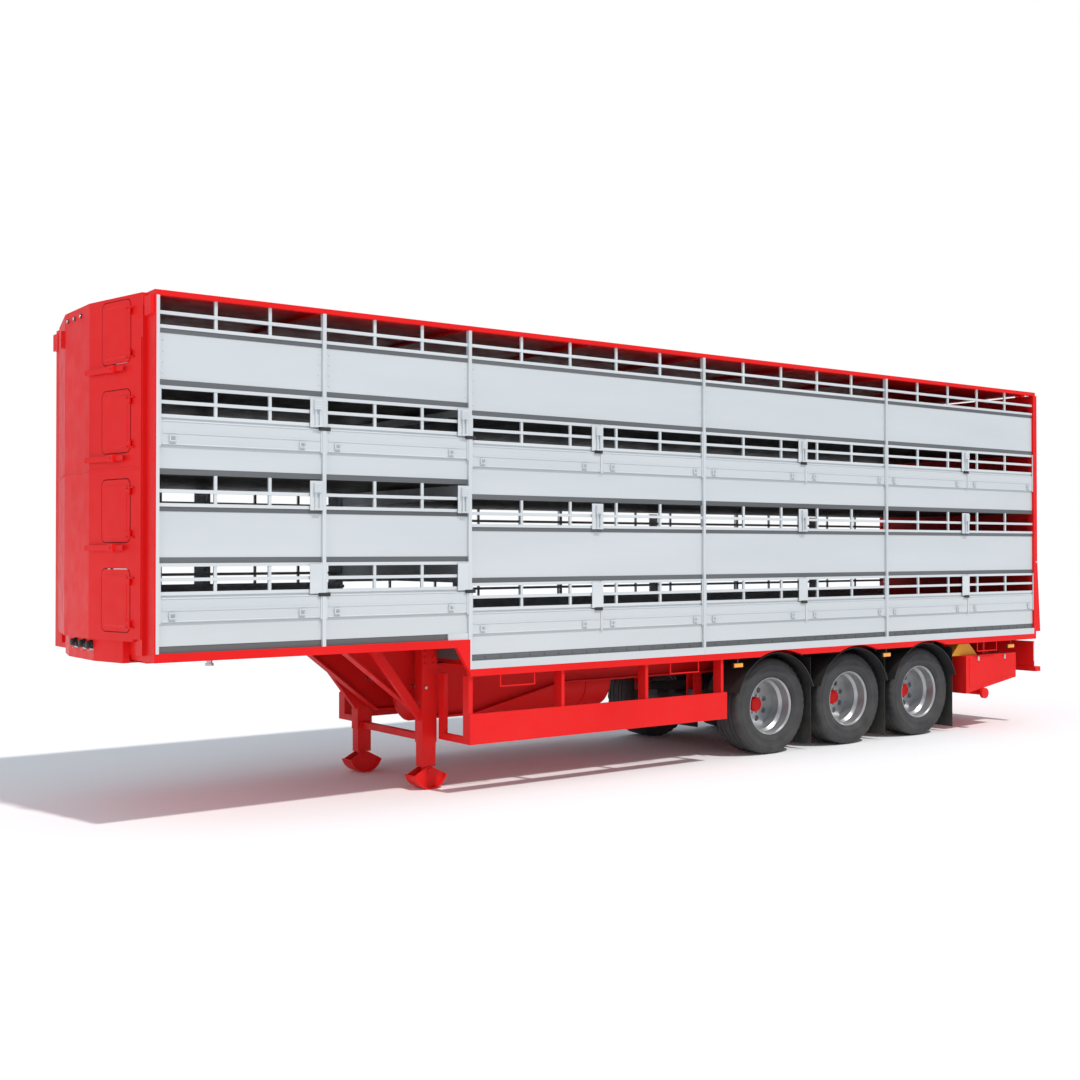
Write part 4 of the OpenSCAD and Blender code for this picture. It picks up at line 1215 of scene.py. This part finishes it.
@dataclass
class RunningGear:
    """Tyres, hub caps and wheel nuts of the six wheels."""

    axle_x: tuple[float, float, float] = field(init=False)
    inner: float = 0.725
    centre: float = 0.498
    nuts: int = 10
    nut_circle: float = 0.0945
    tyre_wide: float = 0.385
    tyre_radius: float = 0.4975
    block_steps: int = 3
    block_notch: float = 0.009

    def __post_init__(self) -> None:
        """Read the axles' places from the left wheels."""
        boxes = [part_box(f"wheel_left_{k}") for k in (1, 2, 3)]
        self.axle_x = tuple((low.x + high.x) / 2 for low, high in boxes)

    def build(self) -> None:
        """Build the pieces of every wheel."""
        for side in Side:
            for k, x in enumerate(self.axle_x, 1):
                name = f"{side.word}_{k}"
                body = f"wheel_{name}_body"
                start = (x, side.value * self.inner, self.centre)
                self.tyre(start, side.outward, name, body)
                self.hub(start, side.outward, name, body)
                self.wheel_nuts(x, side, name, body)

    def tyre(self, start: Point, way: Point, name: str, body: str) -> None:
        """Turn one tyre with ribs, grooves and shoulder blocks.

        Args:
            start: Middle of its inner face.
            way: Outward along the axle.
            name: Side and number of the wheel.
            body: The wheel's body.
        """
        width, radius = self.tyre_wide, self.tyre_radius
        half = [(0.2955, 0.037), (0.3030, 0.020), (0.3180, 0.009),
                (0.3420, 0.0045), (0.3440, 0.0025), (0.3560, 0.0025),
                (0.3580, 0.0038), (0.4100, 0.0008), (0.4120, 0.0000),
                (0.4320, 0.0012), (0.4340, 0.0040), (0.4520, 0.0080),
                (0.4680, 0.0140), (0.4830, 0.0230), (0.4930, 0.0340),
                (radius, 0.0500), (radius, 0.0860), (0.4845, 0.0880),
                (0.4845, 0.0960), (radius, 0.0980), (radius, 0.1420),
                (0.4845, 0.1440), (0.4845, 0.1520), (radius, 0.1540)]
        outside = half + [(r, width - y) for r, y in reversed(half)]
        inside = [(0.2835, width - 0.052), (0.2835, width - 0.078),
                  (0.3200, width - 0.030), (0.3700, width - 0.026),
                  (0.4400, width - 0.030), (0.4600, width - 0.056),
                  (0.4640, width / 2), (0.4600, 0.056), (0.4400, 0.030),
                  (0.3700, 0.026), (0.3200, 0.030), (0.2835, 0.072),
                  (0.2835, 0.045)]

        def blocks(step: int, wide: float, along: float) -> float:
            """Cut a notch into both shoulders between two blocks.

            Args:
                step: Step round the tyre.
                wide: Radius of the point.
                along: Its distance from the inner face.

            Returns:
                The radius with the notch.
            """
            edge = min(along, width - along)
            notched = (step % self.block_steps == 0 and wide > 0.475
                       and edge < 0.060)
            return wide - self.block_notch if notched else wide

        sketch = Sketch()
        sketch.turned(start, way, outside + inside, 120, blocks, ring=True)
        sketch.piece(f"ribbed_tyre_{name}", TYRE_RUBBER, body,
                     (f"tyre_{name}",), smooth=True)

    def hub(self, start: Point, way: Point, name: str, body: str) -> None:
        """Turn one red hub cap over the wheel's centre.

        Args:
            start: Middle of the wheel's inner face.
            way: Outward along the axle.
            name: Side and number of the wheel.
            body: The wheel's body.
        """
        sketch = Sketch()
        sketch.turned(start, way,
                      [(0.0770, 0.1035), (0.0778, 0.1060), (0.0775, 0.1190),
                       (0.0725, 0.1370), (0.0700, 0.1425), (0.0560, 0.1445),
                       (0.0540, 0.1480), (0.0400, 0.1500), (0.0150, 0.1515)],
                      48)
        sketch.piece(f"hub_cap_{name}", RED_PAINT, body, smooth=True)

    def wheel_nuts(self, x: float, side: Side, name: str,
                   body: str) -> None:
        """Lay the ring of nuts and their studs.

        Args:
            x: The axle's place.
            side: Side of the wheel.
            name: Side and number of the wheel.
            body: The wheel's body.
        """
        for part, size, lift in (("nuts", (0.0125, 0.0115, 0.016), 0.1035),
                                 ("studs", (0.0070, 0.0060, 0.008), 0.1195)):
            rows = Rows(Repeat.BOLT, size)
            for i in range(self.nuts):
                angle = 2 * math.pi * i / self.nuts
                rows.add((x + self.nut_circle * math.cos(angle),
                          side.value * (self.inner + lift),
                          self.centre + self.nut_circle * math.sin(angle)),
                         side.outward)
            rows.piece(f"wheel_{part}_{name}", BRIGHT_STEEL, body)


@dataclass
class Lamps:
    """Side markers and rear lamp clusters."""

    plan: BodyPlan
    marker_x: Point = (5.859, 8.082, 10.316)
    marker_z: float = 0.960
    glass_half: tuple[float, float] = (0.058, 0.019)
    base_half: tuple[float, float] = (0.065, 0.025)
    cluster: tuple[float, float] = (0.820, 1.200)
    lens_y: Point = (0.890, 1.010, 1.130)

    def build(self) -> None:
        """Build the lamps of both sides."""
        self.markers()
        self.clusters()

    def markers(self) -> None:
        """Build the amber side markers with their brackets."""
        glass, base = Sketch(), Sketch()
        for side in Side:
            for x in (self.plan.front + back for back in self.marker_x):
                for sketch, faces, (wide, tall) in (
                        (glass, (1.222, 1.232), self.glass_half),
                        (base, (1.207, 1.2235), self.base_half)):
                    near, far = side.span(*faces)
                    sketch.slab((x - wide, near, self.marker_z - tall),
                                (x + wide, far, self.marker_z + tall))
                near, far = side.span(1.208, 1.220)
                base.slab((x - 0.008, near, self.marker_z + 0.020),
                          (x + 0.008, far, self.marker_z + 0.070))
        base.piece("side_marker_bases", BLACK_PLASTIC, CHASSIS,
                   bevel=0.002)
        glass.piece("side_marker_glasses", AMBER_LENS, CHASSIS,
                    ("marker_lamps",), bevel=0.004, smooth=True)

    def clusters(self) -> None:
        """Build the rear clusters: a housing and three round lenses."""
        low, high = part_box("rear_lamps")
        shell, red, amber, pale = Sketch(), Sketch(), Sketch(), Sketch()
        for side in Side:
            near, far = side.span(*self.cluster)
            shell.slab((low.x, near, low.z), (high.x - 0.012, far, high.z))
            for sketch, y in zip((red, amber, pale), self.lens_y):
                sketch.turned((high.x - 0.014, side.value * y,
                               (low.z + high.z) / 2), (1, 0, 0),
                              [(0.055, 0.0), (0.054, 0.008),
                               (0.048, 0.0125), (0.020, 0.0140)], 32)
        shell.piece("rear_lamp_housings", BLACK_PLASTIC, CHASSIS,
                    bevel=0.006, smooth=True)
        red.piece("rear_lamp_red", RED_LENS, CHASSIS, ("rear_lamps",),
                  smooth=True)
        amber.piece("rear_lamp_amber", AMBER_LENS, CHASSIS, smooth=True)
        pale.piece("rear_lamp_pale", CLEAR_LENS, CHASSIS, smooth=True)


@dataclass
class RearEnd:
    """Ribs, rods and strips of the tailgate, ramp and bumper.

    The tailgate's and the ramp's inner faces stand a little behind the
    front of the rear frame.
    """

    plan: BodyPlan
    rib_long: float = 2.360
    inner_face: float = 0.039
    gate_thick: float = 0.044
    rod_y: float = 0.780
    rod_out: float = 0.026
    rod_z: float = 2.000
    rod_long: float = 1.700
    clamp_z: Point = (2.06, 2.80, 3.60)
    handle_z: tuple[float, float] = (2.300, 2.334)
    gate_ribs: int = 11
    ramp_ribs_at: tuple[float, ...] = (0.12, 0.31, 0.50, 0.69, 0.88)
    strips: int = 8
    strip_pitch: float = 0.300
    strip_gap: float = 0.006
    strip_z: tuple[float, float] = (0.945, 0.990)

    def build(self) -> None:
        """Build every piece of the rear."""
        self.tailgate_ribs()
        self.ramp_ribs()
        self.lock_rods()
        self.board_strips()

    def tailgate_ribs(self) -> None:
        """Rib the upper tailgate across its width."""
        rows = Rows(Repeat.RIB, (self.rib_long, 0.050, 0.010))
        low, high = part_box("upper_tailgate")
        x = self.plan.rear + self.inner_face + self.gate_thick
        pitch = (high.z - low.z - 0.42) / (self.gate_ribs - 1)
        for i in range(self.gate_ribs):
            rows.add((x, 0.0, low.z + 0.12 + i * pitch), (1, 0, 0))
        rows.piece("tailgate_ribs", RED_PAINT, "upper_tailgate_body")

    def ramp_ribs(self) -> None:
        """Rib the sloping outer face of the ramp."""
        rows = Rows(Repeat.RIB, (self.rib_long, 0.045, 0.010))
        back = self.plan.rear + self.inner_face
        foot = Vector((back + 0.100, 0, 1.120))
        head = Vector((back + 0.046, 0, 1.967))
        slope = head - foot
        out = (slope.z, 0.0, -slope.x)
        for share in self.ramp_ribs_at:
            rows.add(tuple(foot + slope * share), out)
        rows.piece("ramp_ribs", RED_PAINT, "rear_ramp_body")

    def lock_rods(self) -> None:
        """Turn the tailgate's two lock rods with guides and handles."""
        x = (self.plan.rear + self.inner_face + self.gate_thick
             + self.rod_out)
        rods, clamps = Sketch(), Sketch()
        for side in Side:
            y = side.value * self.rod_y
            rods.turned((x, y, self.rod_z), (0, 0, 1),
                        [(0.011, 0.0), (0.013, 0.003),
                         (0.013, self.rod_long - 0.003),
                         (0.011, self.rod_long)], 20)
            for z in self.clamp_z:
                clamps.slab((x - self.rod_out, y - 0.030, z - 0.022),
                            (x + 0.019, y + 0.030, z + 0.022))
            near, far = side.span(self.rod_y - 0.260, self.rod_y)
            clamps.slab((x + 0.010, near, self.handle_z[0]),
                        (x + 0.022, far, self.handle_z[1]))
        rods.piece("tailgate_lock_rods", BRIGHT_STEEL,
                   "upper_tailgate_body", smooth=True)
        clamps.piece("tailgate_rod_clamps", DARK_PAINT,
                     "upper_tailgate_body", bevel=0.003, smooth=True)

    def board_strips(self) -> None:
        """Lay grey reflective strips on the bumper board and its ends."""
        face, thick = self.plan.rear + 0.014, 0.0015
        low, high = self.strip_z
        board, ends = Sketch(), Sketch()
        for i in range(self.strips):
            y = (i - self.strips / 2) * self.strip_pitch
            board.slab((face, y + self.strip_gap, low),
                       (face + thick, y + self.strip_pitch - self.strip_gap,
                        high))
        board.piece("rear_reflective_strip", REFLECTOR, CHASSIS)
        for side in Side:
            near, far = side.span(1.2400, 1.2400 + thick)
            ends.slab((face - 0.018, near, 0.76), (face - 0.002, far, 0.98))
        ends.piece("board_end_strips", REFLECTOR, CHASSIS)


@dataclass
class Chassis:
    """Bolts, pins, lids and straps of the red underframe and roof."""

    plan: BodyPlan
    strap: Point = (0.050, 2.44, 0.006)
    straps: int = 9
    strap_pitch: float = 1.32
    hanger_x: float = 5.942
    axle_pitch: float = 1.172
    leg_x: float = 2.637
    foot_pin_z: float = 0.165
    box_x: float = 9.495
    lid_faces: tuple[float, float] = (1.1995, 1.2045)
    catch_faces: tuple[float, float] = (1.204, 1.214)
    catch_x: tuple[float, float] = (0.22, 0.72)

    def build(self) -> None:
        """Build every piece of the underframe and the roof."""
        self.roof_ribs()
        self.flange_bolts()
        self.foot_pins()
        self.box_seams()

    def roof_ribs(self) -> None:
        """Cover the roof's joints with shallow straps."""
        rows = Rows(Repeat.RIB, self.strap)
        top = CAD_BOX[1].z
        for i in range(self.straps):
            rows.add((self.plan.front + 0.10 + i * self.strap_pitch, 0.0,
                      top), (0, 0, 1))
        rows.piece("roof_joint_straps", RED_PAINT, CHASSIS)

    def flange_bolts(self) -> None:
        """Bolt the hangers and the landing legs to the beams."""
        rows = Rows(Repeat.BOLT, (0.013, 0.012, 0.010))
        for side in Side:
            for k in range(3):
                x = self.plan.front + self.hanger_x + self.axle_pitch * k
                for dx in (-0.035, 0.035):
                    for z in (0.735, 0.790):
                        rows.add((x + dx, side.value * 0.499, z),
                                 side.outward)
            leg = self.plan.front + self.leg_x
            for dx in (-0.045, 0.045):
                for z in (1.110, 1.165, 1.220):
                    rows.add((leg + dx, side.value * 0.678, z),
                             side.outward)
        rows.piece("underframe_bolts", RED_PAINT, CHASSIS)

    def foot_pins(self) -> None:
        """Cap the pins of both rocker feet."""
        x = self.plan.front + self.leg_x
        for side in Side:
            sketch = Sketch()
            for y, sign in ((0.694, 1), (0.536, -1)):
                sketch.turned((x, side.value * y, self.foot_pin_z),
                              (0, side.value * sign, 0),
                              [(0.022, -0.0005), (0.022, 0.004),
                               (0.016, 0.007)], 24)
            sketch.piece(f"foot_pin_caps_{side.word}", RED_PAINT,
                         f"foot_{side.word}_body", smooth=True)

    def box_seams(self) -> None:
        """Fit the tool boxes with lids and catches."""
        lids, catches = Sketch(), Sketch()
        start = self.plan.front + self.box_x
        outline = [(start + x, z) for x, z in (
            (0.06, 0.500), (0.89, 0.625), (0.89, 0.845), (0.06, 0.845))]
        for side in Side:
            near, far = side.span(*self.lid_faces)
            lids.prism([(x, near, z) for x, z in outline],
                       [(x, far, z) for x, z in outline])
            near, far = side.span(*self.catch_faces)
            for x in (start + along for along in self.catch_x):
                catches.slab((x - 0.016, near, 0.812),
                             (x + 0.016, far, 0.862))
        lids.piece("tool_box_lids", RED_PAINT, CHASSIS, bevel=0.003)
        catches.piece("tool_box_catches", BRIGHT_STEEL, CHASSIS,
                      bevel=0.002)


@dataclass
class Studio:
    """Floor, light and camera round the trailer."""

    eye: Point = (-8.8665, -11.4819, 2.1002)
    yaw: float = 0.67893
    pitch: float = 0.01274
    roll: float = -0.00157
    lens: float = 45.95
    shift: tuple[float, float] = (-0.1035, -0.0050)
    sky_tint: Colour = (0.84, 0.91, 1.0)
    sky_power: float = 0.62
    key_power: float = 2.1
    key_tint: Colour = (1.0, 0.975, 0.94)
    key_way: Point = (2.6, -12.4, 20.0)
    key_spread: float = 2.5
    softbox_at: Point = (-15.0, -4.0, 6.0)
    softbox_aim: Point = (-4.0, 0.0, 2.0)
    softbox_size: float = 6.0
    softbox_power: float = 190.0
    floor_half: float = 90.0

    def build(self) -> None:
        """Build the floor, the lights and the camera."""
        self.ground()
        self.lights()
        self.camera()
        bpy.context.scene.view_settings.view_transform = "Standard"

    def ground(self) -> None:
        """Lay a plain pale floor."""
        mesh = bpy.data.meshes.new("pale_floor")
        wide = self.floor_half
        mesh.from_pydata([(-wide, -wide, 0), (wide, -wide, 0),
                          (wide, wide, 0), (-wide, wide, 0)], [],
                         [(0, 1, 2, 3)])
        floor = bpy.data.objects.new("pale_floor", mesh)
        bpy.context.collection.objects.link(floor)
        paint = bpy.data.materials.new("pale_floor")
        paint.use_nodes = True
        shader = paint.node_tree.nodes["Principled BSDF"]
        shader.inputs["Base Color"].default_value = (0.96, 0.96, 0.96, 1)
        shader.inputs["Roughness"].default_value = 0.9
        shader.inputs["Specular IOR Level"].default_value = 0.1
        mesh.materials.append(paint)

    def lights(self) -> None:
        """Light the trailer from the high left, with a pale sky round it."""
        world = bpy.data.worlds.new("studio")
        world.use_nodes = True
        tree = world.node_tree
        sky = tree.nodes["Background"]
        sky.inputs["Color"].default_value = (*self.sky_tint, 1)
        sky.inputs["Strength"].default_value = self.sky_power
        # the lens sees a plain white sweep, and the trailer a tinted one
        sweep = tree.nodes.new("ShaderNodeBackground")
        sweep.inputs["Color"].default_value = (1.0, 1.0, 1.0, 1)
        seen = tree.nodes.new("ShaderNodeLightPath").outputs["Is Camera Ray"]
        mix = tree.nodes.new("ShaderNodeMixShader")
        tree.links.new(seen, mix.inputs[0])
        tree.links.new(sky.outputs[0], mix.inputs[1])
        tree.links.new(sweep.outputs[0], mix.inputs[2])
        tree.links.new(mix.outputs[0],
                       tree.nodes["World Output"].inputs["Surface"])
        bpy.context.scene.world = world
        key = bpy.data.lights.new("key", "SUN")
        key.energy = self.key_power
        key.color = self.key_tint
        key.angle = math.radians(self.key_spread)
        self._aim(key, self.key_way, (0.0, 0.0, 0.0))
        softbox = bpy.data.lights.new("front_softbox", "AREA")
        softbox.size = self.softbox_size
        softbox.energy = self.softbox_power
        self._aim(softbox, self.softbox_at, self.softbox_aim)

    @staticmethod
    def _aim(lamp: bpy.types.Light, place: Point, aim: Point) -> None:
        """Stand a lamp at a place and turn it to its aim.

        Args:
            lamp: The lamp.
            place: Where it stands.
            aim: What it points at.
        """
        holder = bpy.data.objects.new(lamp.name, lamp)
        holder.location = place
        way = Vector(aim) - Vector(place)
        holder.rotation_euler = way.to_track_quat("-Z", "Y").to_euler()
        bpy.context.collection.objects.link(holder)

    def camera(self) -> None:
        """Set the camera at the trailer's front left."""
        lens = bpy.data.cameras.new("view")
        lens.lens = self.lens
        lens.sensor_width = 36.0
        lens.shift_x, lens.shift_y = self.shift
        lens.clip_end = 400.0
        ahead = Vector((math.sin(self.yaw) * math.cos(self.pitch),
                        math.cos(self.yaw) * math.cos(self.pitch),
                        math.sin(self.pitch)))
        right = Vector((math.cos(self.yaw), -math.sin(self.yaw), 0.0))
        up = right.cross(ahead)
        tilt_c, tilt_s = math.cos(self.roll), math.sin(self.roll)
        side = right * tilt_c + up * tilt_s
        rise = up * tilt_c - right * tilt_s
        pose = Matrix((side, rise, -ahead)).transposed().to_4x4()
        pose.translation = self.eye
        eye = bpy.data.objects.new("view", lens)
        eye.matrix_world = pose
        bpy.context.collection.objects.link(eye)
        bpy.context.scene.camera = eye


def main() -> None:
    """Build the trailer's looks in order."""
    logging.basicConfig(level=logging.INFO, format="%(message)s")
    plan = BodyPlan()
    finish_nodes()
    for part in (SideWalls(plan), Nose(plan), RunningGear(), Lamps(plan),
                 RearEnd(plan), Chassis(plan), Studio()):
        LOG.info("building %s", type(part).__name__)
        part.build()


if __name__ == "__main__":
    main()
